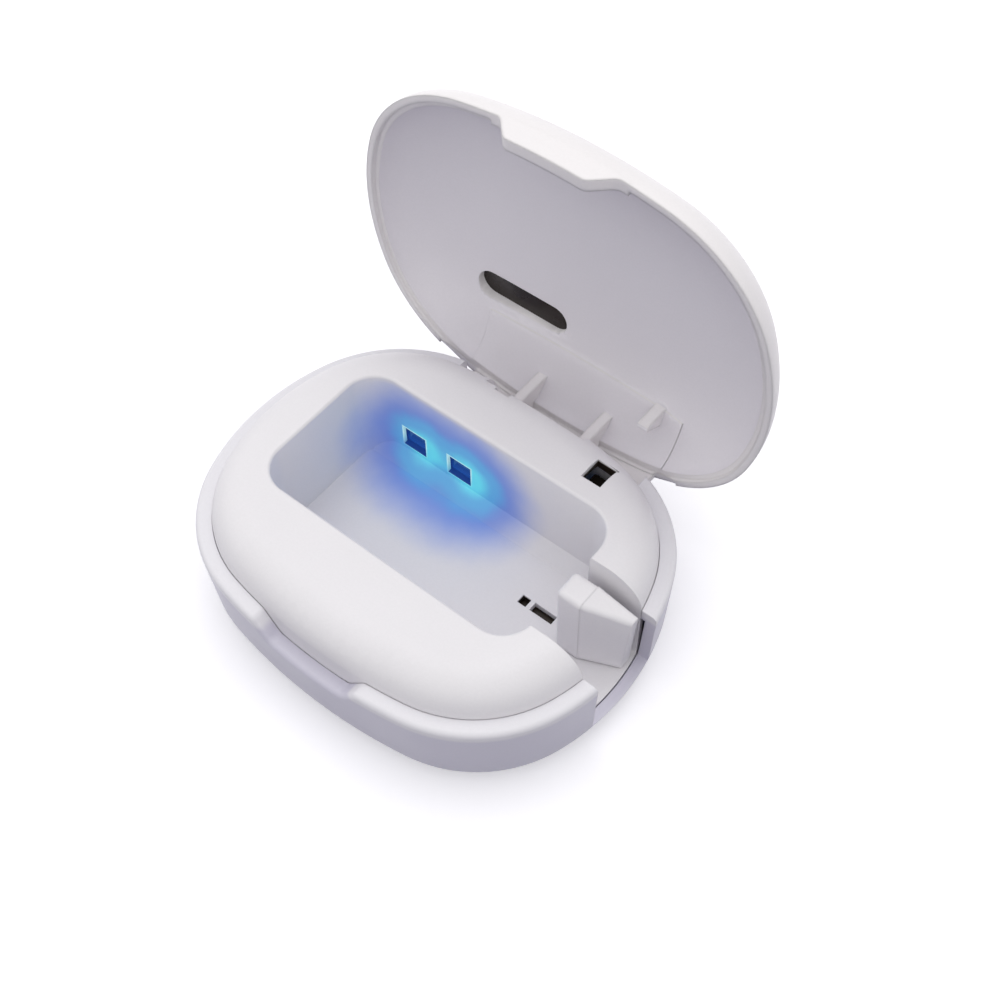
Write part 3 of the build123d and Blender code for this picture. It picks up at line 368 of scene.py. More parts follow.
def soft_edge_group():
    """Normal that rounds the edges, and a mask of where it does."""
    tree, given, result = open_group("soft_edge", "ShaderNodeTree", [
        ("Radius", "INPUT", "NodeSocketFloat", 0.2 * MM),
        ("Normal", "OUTPUT", "NodeSocketVector", None),
        ("Edge", "OUTPUT", "NodeSocketFloat", None),
    ])
    rounded = put(tree, "ShaderNodeBevel", {"Radius": given.outputs["Radius"]}, samples=6).outputs["Normal"]
    flat = put(tree, "ShaderNodeNewGeometry").outputs["Normal"]
    alike = put(tree, "ShaderNodeVectorMath", {0: rounded, 1: flat}, operation="DOT_PRODUCT")
    tree.links.new(rounded, result.inputs["Normal"])
    tree.links.new(remap(tree, alike.outputs["Value"], 0.995, 0.8), result.inputs["Edge"])


def lamp_glow_group(look, lamps, top, back):
    """Light of the two lamps painted on what is round them: its colour, and how much of it there is.

    The glow ends below the height top, and just behind the wall whose front is at back.
    """
    unevenness = 2.2 * MM
    top_fade = 1.4 * MM
    back_fade = (0.9 * MM, 0.5 * MM)
    lit_edge_width = (0.42 * MM, 0.12 * MM)
    lit_edge_rise = 3.0 * MM
    jamb_depth = 0.50 * MM
    sill_margin = 0.06 * MM
    opening_margin = 0.02 * MM

    tree, given, result = open_group("lamp_glow", "ShaderNodeTree", [
        ("Vector", "INPUT", "NodeSocketVector", None),
        ("Reach", "INPUT", "NodeSocketFloat", look.reach),
        ("Colour", "OUTPUT", "NodeSocketColor", None),
        ("Mask", "OUTPUT", "NodeSocketFloat", None),
    ])
    vector = given.outputs["Vector"]
    place = put(tree, "ShaderNodeSeparateXYZ", {"Vector": vector}).outputs
    spots = []
    for lamp in lamps:
        centre = (lamp[0] + look.drift, lamp[1], lamp[2])
        away = put(tree, "ShaderNodeVectorMath", {0: vector, 1: centre}, operation="DISTANCE")
        spots.append(away.outputs["Value"])
    nearest = calc(tree, "SMOOTH_MIN", spots[0], spots[1], look.reach / 3)
    uneven = calc(tree, "MULTIPLY", noise(tree, vector, 190.0, detail=2.0), unevenness)
    distance = calc(tree, "DIVIDE", calc(tree, "ADD", nearest, uneven), given.outputs["Reach"])
    colours = put(tree, "ShaderNodeValToRGB", {"Fac": distance})
    ramp = colours.color_ramp
    ramp.interpolation = "EASE"
    stops = ((0.18, look.core_colour), (0.36, look.middle_colour), (0.54, look.halo_colour))
    while len(ramp.elements) < len(stops):
        ramp.elements.new(0.5)
    for element, (spot, colour) in zip(ramp.elements, stops):
        element.position = spot
        element.color = (*colour, 1)
    # the painted highlight on the edges, and the painted shade on the sill and the deep jamb of the
    # openings
    sides = []
    for lamp in lamps:
        across = calc(tree, "ABSOLUTE", calc(tree, "SUBTRACT", place["X"], lamp[0]))
        upright = calc(tree, "ABSOLUTE", calc(tree, "SUBTRACT", place["Z"], lamp[2]))
        past_side = calc(tree, "SUBTRACT", across, look.opening_size[0] / 2)
        past_top = calc(tree, "SUBTRACT", upright, look.opening_size[1] / 2)
        sides.append(calc(tree, "MAXIMUM", past_side, past_top))
    outside = calc(tree, "MINIMUM", sides[0], sides[1])
    sill = lamps[0][2] - look.opening_size[1] / 2
    brighter_up = remap(tree, place["Z"], sill, sill + lit_edge_rise, 0.15, 1.0)
    lit_edge = calc(tree, "MULTIPLY", remap(tree, outside, *lit_edge_width, smooth=True), brighter_up)
    low = calc(tree, "LESS_THAN", place["Z"], sill + sill_margin)
    deep = calc(tree, "GREATER_THAN", place["Y"], back - jamb_depth)
    in_opening = calc(tree, "LESS_THAN", outside, opening_margin)
    sill_shade = calc(tree, "MULTIPLY", calc(tree, "MAXIMUM", low, deep), in_opening)
    coloured = blend_colours(tree, lit_edge, colours.outputs["Color"], look.lit_edge_colour)
    coloured = blend_colours(tree, sill_shade, coloured, look.sill_shade_colour)
    # only on the chamber's side of the wall and under its edge
    inside = remap(tree, place["Z"], top, top - top_fade, smooth=True)
    ahead = remap(tree, place["Y"], back + back_fade[0], back + back_fade[1])
    fade = remap(tree, distance, 1.0, 0.42, smooth=True)
    mask = calc(tree, "MULTIPLY", fade, calc(tree, "MULTIPLY", inside, ahead))
    tree.links.new(coloured, result.inputs["Colour"])
    tree.links.new(mask, result.inputs["Mask"])


def pit_shade_group(pits):
    """Mask of the painted shade down in the holes."""
    margin, fade = 0.25, 0.35
    tree, given, result = open_group("pit_shade", "ShaderNodeTree", [
        ("Vector", "INPUT", "NodeSocketVector", None),
        ("Mask", "OUTPUT", "NodeSocketFloat", None),
    ])
    place = put(tree, "ShaderNodeSeparateXYZ", {"Vector": given.outputs["Vector"]}).outputs
    mask = 0.0
    for middle_x, middle_y, size_x, size_y, top in pits:
        inside = 1.0
        for axis, middle, size in (("X", middle_x, size_x), ("Y", middle_y, size_y)):
            away = calc(tree, "ABSOLUTE", calc(tree, "SUBTRACT", place[axis], middle * MM))
            within = calc(tree, "LESS_THAN", away, (size / 2 + margin) * MM)
            inside = calc(tree, "MULTIPLY", within, inside)
        down = remap(tree, place["Z"], top * MM, (top - fade) * MM)
        mask = calc(tree, "MAXIMUM", calc(tree, "MULTIPLY", inside, down), mask)
    tree.links.new(mask, result.inputs["Mask"])


def new_material(name):
    """Empty material with its Principled shader, its tree and its Object coordinates."""
    material = bpy.data.materials.new(name)
    material.use_nodes = True
    tree = material.node_tree
    tree.nodes.clear()
    shader = put(tree, "ShaderNodeBsdfPrincipled")
    put(tree, "ShaderNodeOutputMaterial", {"Surface": shader.outputs["BSDF"]})
    vector = put(tree, "ShaderNodeTexCoord").outputs["Object"]
    return material, tree, shader, vector


def use_group(tree, name, inputs):
    """Place a shared group and set its inputs."""
    made = put(tree, "ShaderNodeGroup", node_tree=bpy.data.node_groups[name])
    for label, value in inputs.items():
        if isinstance(value, bpy.types.NodeSocket):
            tree.links.new(value, made.inputs[label])
        else:
            made.inputs[label].default_value = value
    return made.outputs


def add_bump(tree, shader, height, distance, normal=None):
    """Lay a bump map over the surface's own normal, or over another one."""
    if normal is None:
        normal = put(tree, "ShaderNodeNewGeometry").outputs["Normal"]
    bumped = put(tree, "ShaderNodeBump", {"Height": height, "Distance": distance, "Normal": normal})
    tree.links.new(bumped.outputs["Normal"], shader.inputs["Normal"])


def add_roughness(tree, shader, rough, *changes):
    """Set a roughness, and what masks change in it: (mask, change) pairs."""
    for mask, change in changes:
        rough = calc(tree, "MULTIPLY_ADD", mask, change, rough)
    tree.links.new(rough, shader.inputs["Roughness"])


def moulded_plastic(name, colour, look, gloss, glow=None, wall=None, softness=1.0):
    """Moulded plastic with fine grain, clouds, handling marks, soft edges lightened by wear and a painted
    highlight, and painted shade down in the pits.

    It may take the lamps' glow painted as emission, or have painted shade on its wall, below the rim.
    """
    material, tree, shader, vector = new_material(name)
    grain = use_group(tree, "moulded_grain", {"Vector": vector, "Grain Scale": 1 / look.grain_size})
    marks = use_group(tree, "handling_marks", {"Vector": vector})
    edges = use_group(tree, "soft_edge", {"Radius": look.edge_radius * softness})
    pits = use_group(tree, "pit_shade", {"Vector": vector})
    plain = colour
    # painted shade on the wall under the rim, darker and more lilac than the rim
    if wall:
        height = put(tree, "ShaderNodeSeparateXYZ", {"Vector": vector}).outputs["Z"]
        start = rim_height - look.rim_band
        blend_height = 1.2 * MM
        below = remap(tree, height, start, start - blend_height, smooth=True)
        plain = blend_colours(tree, below, colour, wall)
    toned = blend_colours(tree, grain["Tone"], (0, 0, 0), plain)
    # edges a little lighter: part wear, part painted highlight
    edge_wear_and_highlight = [min(1.0, c * 1.05) for c in colour]
    skin = blend_colours(tree, calc(tree, "MULTIPLY", edges["Edge"], 0.5), toned, edge_wear_and_highlight)
    # painted shade down in the switch hole and the drains
    skin = blend_colours(tree, pits["Mask"], skin, look.pit_shade_colour)
    # the lamps' light painted on the walls round them, as colour and emission
    if glow:
        light = use_group(tree, "lamp_glow", {"Vector": vector})
        skin = blend_colours(tree, light["Mask"], skin, light["Colour"])
        lit = blend_colours(tree, light["Mask"], (0, 0, 0), light["Colour"])
        tree.links.new(lit, shader.inputs["Emission Color"])
        shader.inputs["Emission Strength"].default_value = glow.strength
    tree.links.new(skin, shader.inputs["Base Color"])
    wear = ((marks["Smudges"], 0.07), (marks["Scratches"], 0.06), (edges["Edge"], -0.05))
    add_roughness(tree, shader, gloss, *wear)
    add_bump(tree, shader, grain["Height"], look.grain_depth, edges["Normal"])
    shader.inputs["IOR"].default_value = 1.5
    return material


def dark_plastic(name, colour, look, gloss, shine=0.5):
    """Dark moulding or smoked window, with dust and hairlines in its gloss."""
    material, tree, shader, vector = new_material(name)
    grain = use_group(tree, "moulded_grain", {"Vector": vector, "Grain Scale": 1 / look.grain_size})
    marks = use_group(tree, "handling_marks", {"Vector": vector})
    edges = use_group(tree, "soft_edge", {"Radius": look.edge_radius})
    # smudges lighter with dust; edges a little lighter: part wear, part painted highlight
    dusty, edge_wear_and_highlight = ([c + lift for c in colour] for lift in (0.03, 0.05))
    skin = blend_colours(tree, calc(tree, "MULTIPLY", marks["Smudges"], 0.35), colour, dusty)
    skin = blend_colours(tree, calc(tree, "MULTIPLY", edges["Edge"], 0.6), skin, edge_wear_and_highlight)
    tree.links.new(skin, shader.inputs["Base Color"])
    add_roughness(tree, shader, gloss, (marks["Smudges"], 0.12), (marks["Scratches"], 0.05))
    add_bump(tree, shader, grain["Height"], look.grain_depth / 2, edges["Normal"])
    shader.inputs["Specular IOR Level"].default_value = shine
    return material


def turned_steel(name, colour, along, gloss=0.28):
    """Drawn or turned steel, its fine lines running along an axis."""
    line_width_scale, line_length_scale = 9000.0, 500.0
    material, tree, shader, vector = new_material(name)
    marks = use_group(tree, "handling_marks", {"Vector": vector})
    stretch = [line_length_scale if axis == along else line_width_scale for axis in "XYZ"]
    lined = put(tree, "ShaderNodeMapping", {"Vector": vector, "Scale": stretch}).outputs["Vector"]
    lines = noise(tree, lined, 1.0, detail=2.0)
    dull = [c * 0.72 for c in colour]
    tree.links.new(shift_colour(tree, lines, 0.35, 0.65, dull, colour), shader.inputs["Base Color"])
    add_roughness(tree, shader, gloss - 0.08, (lines, 0.16), (marks["Smudges"], 0.1))
    add_bump(tree, shader, lines, 0.004 * MM)
    shader.inputs["Metallic"].default_value = 1.0
    return material


def lamp_window_glass():
    """Dark blue lamp window with a painted glow, brightest near its lower edge."""
    material, tree, shader, vector = new_material("lamp_window_glass")
    marks = use_group(tree, "handling_marks", {"Vector": vector})
    low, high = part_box("uv_window_left")
    height = put(tree, "ShaderNodeSeparateXYZ", {"Vector": vector}).outputs["Z"]
    share = remap(tree, height, high.z, low.z, smooth=True)
    glow = blend_colours(tree, share, (0.002, 0.008, 0.05), (0.012, 0.075, 0.34))
    tree.links.new(glow, shader.inputs["Emission Color"])
    shader.inputs["Emission Strength"].default_value = 0.8
    tint = blend_colours(tree, marks["Smudges"], (0.004, 0.014, 0.07), (0.01, 0.03, 0.12))
    tree.links.new(tint, shader.inputs["Base Color"])
    add_roughness(tree, shader, 0.06, (marks["Smudges"], 0.1))
    shader.inputs["Coat Weight"].default_value = 0.2
    return material


def lamp_light(name, colour, strength):
    """Lit part of a lamp, uneven as its phosphor or die is."""
    material, tree, shader, vector = new_material(name)
    patches = noise(tree, vector, 2200.0, detail=2.0)
    lit = shift_colour(tree, patches, 0.3, 0.7, [c * 0.6 for c in colour], colour)
    tree.links.new(lit, shader.inputs["Emission Color"])
    tree.links.new(lit, shader.inputs["Base Color"])
    shader.inputs["Emission Strength"].default_value = strength
    shader.inputs["Roughness"].default_value = 0.3
    return material


def circuit_board(name, colour):
    """Solder mask over faint tracks."""
    material, tree, shader, vector = new_material(name)
    grain = use_group(tree, "moulded_grain", {"Vector": vector, "Grain Scale": 2600.0})
    tracks = put(tree, "ShaderNodeTexBrick", {
        "Vector": vector, "Scale": 420.0, "Mortar Size": 0.06, "Brick Width": 0.9, "Row Height": 0.35,
        "Color1": (1, 1, 1, 1), "Color2": (0.9, 0.9, 0.9, 1), "Mortar": (0, 0, 0, 1),
    }, offset=0.37).outputs["Fac"]
    light = [min(1.0, c * 1.35 + 0.02) for c in colour]
    tree.links.new(blend_colours(tree, tracks, colour, light), shader.inputs["Base Color"])
    tree.links.new(remap(tree, grain["Height"], 0.2, 0.8, 0.28, 0.42), shader.inputs["Roughness"])
    add_bump(tree, shader, tracks, 0.02 * MM)
    return material


def soft_sheet(name, colour, scale, depth, rough):
    """Foil, foam or silicone: a creased or porous soft skin."""
    roughness_spread = 0.08
    material, tree, shader, vector = new_material(name)
    pores = noise(tree, vector, scale, detail=4.0, roughness=0.65)
    dark = [c * 0.8 for c in colour]
    tree.links.new(shift_colour(tree, pores, 0.3, 0.7, dark, colour), shader.inputs["Base Color"])
    uneven = remap(tree, pores, 0.2, 0.8, rough - roughness_spread, rough + roughness_spread)
    tree.links.new(uneven, shader.inputs["Roughness"])
    add_bump(tree, shader, pores, depth)
    return material


# Pieces


def show(name, mesh, body, slot, *nodes):
    """Link a finished mesh, put it on its body and let it stand for CAD nodes."""
    piece = bpy.data.objects.new(name, mesh)
    bpy.context.scene.collection.objects.link(piece)
    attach(piece, body)
    if nodes:
        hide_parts(*nodes)
    return piece


def welded_copy(node, name, angle):
    """Copy of a node's mesh with its loose triangles joined and its normals smooth between hard edges."""
    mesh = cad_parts[node].data.copy()
    mesh.name = name
    stored = mesh.attributes.get("custom_normal")
    if stored:
        mesh.attributes.remove(stored)
    work = bmesh.new()
    work.from_mesh(mesh)
    bmesh.ops.remove_doubles(work, verts=work.verts, dist=0.001 * MM)
    work.to_mesh(mesh)
    work.free()
    mesh.materials.clear()
    mesh.shade_smooth()
    mesh.set_sharp_from_angle(angle=angle)
    return mesh


def even_normals(piece):
    """Let a shell's large faces set its normals."""
    modifier = piece.modifiers.new("even_normals", "WEIGHTED_NORMAL")
    modifier.keep_sharp = True
    modifier.weight = 80


def shade_lid_inside(mesh, inside_shade_start):
    """Give the faces that look into the lid, behind its rim, the second material: a darker copy of the
    lid's plastic as painted shade.
    """
    inward = -0.05
    for face in mesh.polygons:
        face.material_index = int(face.normal.y < inward and face.center.y > inside_shade_start)


def soften_ledge(mesh, inside_shade_start):
    """Let the long upward ledge inside the lid shade as one with the faces beside it."""
    upward, inward = 0.6, -0.9
    work = bmesh.new()
    work.from_mesh(mesh)
    for edge in work.edges:
        if len(edge.link_faces) == 2 and min(vert.co.y for vert in edge.verts) > inside_shade_start:
            normals = [face.normal for face in edge.link_faces]
            if max(n.z for n in normals) > upward and min(n.y for n in normals) < inward:
                edge.smooth = True
    work.to_mesh(mesh)
    work.free()


def dress(node, material):
    """Give a CAD node its material."""
    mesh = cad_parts[node].data
    mesh.materials.clear()
    mesh.materials.append(material)


def set_out(tree, points, part):
    """Real copies of a part on points."""
    inputs = {"Points": points, "Instance": part}
    copies = put(tree, "GeometryNodeInstanceOnPoints", inputs).outputs["Instances"]
    return put(tree, "GeometryNodeRealizeInstances", {"Geometry": copies}).outputs["Geometry"]


def end_group(tree, given, result, geometry):
    """End a geometry group: real geometry with the group's finish."""
    real = put(tree, "GeometryNodeRealizeInstances", {"Geometry": geometry}).outputs["Geometry"]
    inputs = {"Geometry": real, "Material": given.outputs["Finish"]}
    finished = put(tree, "GeometryNodeSetMaterial", inputs).outputs["Geometry"]
    tree.links.new(finished, result.inputs["Geometry"])


def repeat_tree():
    """Geometry nodes that repeat a part in rows and columns about the origin."""
    tree, given, result = open_group("repeat_part", "GeometryNodeTree", [
        ("Geometry", "INPUT", "NodeSocketGeometry", None),
        ("Columns", "INPUT", "NodeSocketInt", 2),
        ("Rows", "INPUT", "NodeSocketInt", 1),
        ("Column Spacing", "INPUT", "NodeSocketFloat", 0.01),
        ("Row Spacing", "INPUT", "NodeSocketFloat", 0.01),
        ("Finish", "INPUT", "NodeSocketMaterial", None),
        ("Geometry", "OUTPUT", "NodeSocketGeometry", None),
    ])

    def line(count, spacing, axis):
        """Points along an axis, centred on the origin."""
        step = put(tree, "ShaderNodeCombineXYZ", {axis: spacing}).outputs["Vector"]
        reach = calc(tree, "MULTIPLY", calc(tree, "SUBTRACT", count, 1.0), spacing)
        half = calc(tree, "MULTIPLY", reach, -0.5)
        start = put(tree, "ShaderNodeCombineXYZ", {axis: half}).outputs["Vector"]
        inputs = {"Count": count, "Start Location": start, "Offset": step}
        return put(tree, "GeometryNodeMeshLine", inputs).outputs["Mesh"]

    columns = line(given.outputs["Columns"], given.outputs["Column Spacing"], "X")
    rows = line(given.outputs["Rows"], given.outputs["Row Spacing"], "Y")
    points = set_out(tree, rows, columns)
    end_group(tree, given, result, set_out(tree, points, given.outputs["Geometry"]))


def coil_tree():
    """Geometry nodes that wind a spring along Z, with a closed turn at each end."""
    tree, given, result = open_group("wound_coil", "GeometryNodeTree", [
        ("Geometry", "INPUT", "NodeSocketGeometry", None),
        ("Turns", "INPUT", "NodeSocketInt", 7),
        ("Steps", "INPUT", "NodeSocketInt", 28),
        ("Length", "INPUT", "NodeSocketFloat", 0.005),
        ("Coil Radius", "INPUT", "NodeSocketFloat", 0.0014),
        ("Wire Radius", "INPUT", "NodeSocketFloat", 0.0002),
        ("Wire Sides", "INPUT", "NodeSocketInt", 10),
        ("Finish", "INPUT", "NodeSocketMaterial", None),
        ("Geometry", "OUTPUT", "NodeSocketGeometry", None),
    ])
    turns, steps, length = (given.outputs[name] for name in ("Turns", "Steps", "Length"))
    radius, wire = given.outputs["Coil Radius"], given.outputs["Wire Radius"]
    total = calc(tree, "MULTIPLY", turns, steps)
    count = calc(tree, "ADD", total, 1.0)
    path = put(tree, "GeometryNodeMeshLine", {"Count": count}).outputs["Mesh"]
    index = put(tree, "GeometryNodeInputIndex").outputs["Index"]
    turned = calc(tree, "DIVIDE", index, steps)
    angle = calc(tree, "MULTIPLY", turned, 2 * pi)
    # the first and the last turn lie close to themselves, and the rest share what is left of the length
    first = calc(tree, "MINIMUM", turned, 1.0)
    last = calc(tree, "MAXIMUM", calc(tree, "SUBTRACT", turned, calc(tree, "SUBTRACT", turns, 1.0)), 0.0)
    middle = calc(tree, "SUBTRACT", calc(tree, "SUBTRACT", turned, first), last)
    closed = calc(tree, "MULTIPLY", wire, 2.1)
    centreline = calc(tree, "SUBTRACT", length, calc(tree, "MULTIPLY", wire, 2.0))
    free = calc(tree, "SUBTRACT", centreline, calc(tree, "MULTIPLY", closed, 2.0))
    pitch = calc(tree, "DIVIDE", free, calc(tree, "SUBTRACT", turns, 2.0))
    rise = calc(tree, "MULTIPLY_ADD", middle, pitch, wire)
    rise = calc(tree, "MULTIPLY_ADD", calc(tree, "ADD", first, last), closed, rise)
    place = put(tree, "ShaderNodeCombineXYZ", {
        "X": calc(tree, "MULTIPLY", calc(tree, "COSINE", angle), radius),
        "Y": calc(tree, "MULTIPLY", calc(tree, "SINE", angle), radius),
        "Z": rise,
    }).outputs["Vector"]
    wound = put(tree, "GeometryNodeSetPosition", {"Geometry": path, "Position": place}).outputs["Geometry"]
    line = put(tree, "GeometryNodeMeshToCurve", {"Mesh": wound}).outputs["Curve"]
    section = put(tree, "GeometryNodeCurvePrimitiveCircle", {
        "Resolution": given.outputs["Wire Sides"], "Radius": wire,
    }).outputs["Curve"]
    inputs = {"Curve": line, "Profile Curve": section, "Fill Caps": True}
    tube = put(tree, "GeometryNodeCurveToMesh", inputs).outputs["Mesh"]
    smooth = put(tree, "GeometryNodeSetShadeSmooth", {"Geometry": tube}).outputs["Geometry"]
    end_group(tree, given, result, smooth)


def grown(tree, part, values, place):
    """Plain mesh that a geometry tree makes from a part with these values, set in its place."""
    holder = bpy.data.objects.new("holder", part)
    bpy.context.scene.collection.objects.link(holder)
    modifier = holder.modifiers.new("grow", "NODES")
    modifier.node_group = tree
    for item in tree.interface.items_tree:
        if item.in_out == "INPUT" and item.name in values:
            modifier[item.identifier] = values[item.name]
    depsgraph = bpy.context.evaluated_depsgraph_get()
    mesh = bpy.data.meshes.new_from_object(holder.evaluated_get(depsgraph), depsgraph=depsgraph)
    holder.modifiers.clear()
    bpy.data.objects.remove(holder)
    mesh.transform(place)
    return mesh


def repeated(part, values, place):
    """Plain mesh of a part repeated in columns and rows, set in its place."""
    return grown(bpy.data.node_groups["repeat_part"], part, values, place)


def turned_part(name, outline, sides):
    """Closed part turned about Z from (radius, height) points, the first and last on the axis."""
    work = bmesh.new()
    rings = []
    for radius, height in outline:
        if radius == 0:
            rings.append([work.verts.new((0, 0, height))])
        else:
            rings.append([
                work.verts.new((radius * cos(2 * pi * k / sides), radius * sin(2 * pi * k / sides), height))
                for k in range(sides)
            ])
    for lower, upper in zip(rings, rings[1:]):
        for k in range(sides):
            corners = [
                lower[k % len(lower)], lower[(k + 1) % len(lower)],
                upper[(k + 1) % len(upper)], upper[k % len(upper)],
            ]
            work.faces.new(list(dict.fromkeys(corners)))
    bmesh.ops.recalc_face_normals(work, faces=work.faces)
    return finished_part(work, name)


def block_part(name, size, bevel, segments=2):
    """Block with rounded edges, standing on its own base."""
    work = bmesh.new()
    bmesh.ops.create_cube(work, size=1)
    for vert in work.verts:
        vert.co = Vector((vert.co.x * size[0], vert.co.y * size[1], (vert.co.z + 0.5) * size[2]))
    edges = work.edges[:]
    bmesh.ops.bevel(work, geom=edges, offset=bevel, segments=segments, affect="EDGES", profile=0.5)
    return finished_part(work, name)


def frame_part(name, outside, inside, height, bevel):
    """Square frame round a square well, standing on its own base."""
    corners = ((-1, -1), (1, -1), (1, 1), (-1, 1))
    section = ((outside / 2, 0), (outside / 2, height), (inside / 2, height), (inside / 2, 0))
    work = bmesh.new()
    rings = [[work.verts.new((x * half, y * half, z)) for x, y in corners] for half, z in section]
    for ring, following in zip(rings, rings[1:] + rings[:1]):
        for k in range(4):
            after = (k + 1) % 4
            work.faces.new((ring[k], ring[after], following[after], following[k]))
    bmesh.ops.recalc_face_normals(work, faces=work.faces)
    bmesh.ops.bevel(work, geom=work.edges[:], offset=bevel, segments=1, affect="EDGES")
    return finished_part(work, name)


def finished_part(work, name):
    """Mesh of a bmesh, smooth between its hard edges."""
    hard_angle = radians(35)
    mesh = bpy.data.meshes.new(name)
    work.to_mesh(mesh)
    work.free()
    mesh.shade_smooth()
    mesh.set_sharp_from_angle(angle=hard_angle)
    return mesh


# Steps


class CASE_OT_shared_effects(bpy.types.Operator):
    """Build the node groups that the finishes share"""

    bl_idname = "case.shared_effects"
    bl_label = "Shared effects"

    def execute(self, context):
        under_edge = 0.3 * MM
        moulded_grain_group()
        handling_marks_group()
        soft_edge_group()
        lamps = []
        for node in ("uv_window_left", "uv_window_right"):
            middle = box_centre(node)
            wall_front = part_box(node)[0].y
            lamps.append((middle.x, wall_front, middle.z))
        lamp_glow_group(context.scene.case_glow, lamps, deck_top - under_edge, wall_front)
        pit_shade_group(SHADED_PITS)
        repeat_tree()
        coil_tree()
        return {"FINISHED"}


class CASE_OT_shells(bpy.types.Operator):
    """Finish the base, the deck, the lid and the gate"""

    bl_idname = "case.shells"
    bl_label = "Shells"

    def execute(self, context):
        look = context.scene.case_plastic
        glow = context.scene.case_glow
        case_white = moulded_plastic(
            "case_white", look.case_colour, look, gloss=0.33, wall=look.wall_shade_colour,
        )
        deck_white = moulded_plastic("deck_white", look.deck_colour, look, gloss=0.38, glow=glow)
        lid_white = moulded_plastic("lid_white", look.lid_colour, look, gloss=0.33, softness=4.2)
        # painted shade: a darker copy of the lid's plastic for the faces that look into the lid
        lid_inside_shade = moulded_plastic("lid_inside_shade", look.inside_shade_colour, look, gloss=0.42)
        gate_white = moulded_plastic("gate_white", look.deck_colour, look, gloss=0.34, softness=2.4)
        shells = (
            ("base_shell", "case_base", "base", "case_white", [case_white]),
            ("inner_deck", "case_deck", "base", "deck_white", [deck_white]),
            ("lid_shell", "case_lid", "lid", "lid_white", [lid_white, lid_inside_shade]),
            ("neck_gate", "case_gate", "gate", "gate_white", [gate_white]),
        )
        for node, name, body, slot, materials in shells:
            mesh = welded_copy(node, name, look.sharp_angle)
            for material in materials:
                mesh.materials.append(material)
            if len(materials) > 1:
                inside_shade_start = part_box(node)[1].y - look.inside_shade_depth
                shade_lid_inside(mesh, inside_shade_start)
                soften_ledge(mesh, inside_shade_start)
            even_normals(show(name, mesh, body, slot, node))
        return {"FINISHED"}


class CASE_OT_lid_window(bpy.types.Operator):
    """Finish the smoked window in the lid"""

    bl_idname = "case.lid_window"
    bl_label = "Lid window"

    def execute(self, context):
        look = context.scene.case_plastic
        mesh = welded_copy("lid_window", "lid_lens", look.sharp_angle)
        smoke = dark_plastic("smoked_window", (0.020, 0.014, 0.012), look, gloss=0.10, shine=0.25)
        mesh.materials.append(smoke)
        even_normals(show("lid_lens", mesh, "lid", "smoked_window", "lid_window"))
        return {"FINISHED"}


class CASE_OT_lamps(bpy.types.Operator):
    """Finish the lamp windows and the lamps behind them"""

    bl_idname = "case.lamps"
    bl_label = "Lamps"

    def execute(self, context):
        look = context.scene.case_plastic
        glass = lamp_window_glass()
        for node in ("uv_window_left", "uv_window_right"):
            dress(node, glass)
        left_low, left_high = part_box("uv_led_left")
        spacing = box_centre("uv_led_right").x - box_centre("uv_led_left").x
        middle = (box_centre("uv_led_left") + box_centre("uv_led_right")) / 2
        width = left_high.x - left_low.x
        depth = left_high.y - left_low.y
        edge = 0.05 * MM
        well_width = 0.7596 * width
        frame_depth = 0.42 * depth
        die_size = (0.5 * width, 0.5 * width, 0.3 * depth)
        lens_radius = 0.30 * width
        lens_foot = 0.40 * depth
        lens_rise = 0.56 * depth
        # the parts stand on the board and face -Y
        place = Matrix.Translation((middle.x, left_high.y, middle.z)) @ Matrix.Rotation(pi / 2, 4, "X")
        ceramic = dark_plastic("lamp_ceramic", (0.72, 0.70, 0.66), look, gloss=0.4)
        die = lamp_light("lamp_die", (0.30, 0.22, 1.0), 2.0)
        lens = lamp_light("lamp_lens", (0.10, 0.35, 0.95), 0.5)
        dome = [
            (lens_radius * cos(radians(a)), frame_depth + lens_rise * sin(radians(a)))
            for a in range(0, 90, 15)
        ]
        lens_outline = [(0, lens_foot), *dome, (0, frame_depth + lens_rise)]
        frames = frame_part("lamp_frame", width, well_width, frame_depth, edge)
        parts = (
            ("lamp_frames", frames, ceramic, ("uv_led_left", "uv_led_right")),
            ("lamp_dies", block_part("lamp_die", die_size, edge), die, ()),
            ("lamp_lenses", turned_part("lamp_lens", lens_outline, 24), lens, ()),
        )
        for name, part, finish, nodes in parts:
            values = {"Columns": 2, "Rows": 1, "Column Spacing": spacing, "Finish": finish}
            show(name, repeated(part, values, place), "base", "lamp_chip", *nodes)
        return {"FINISHED"}


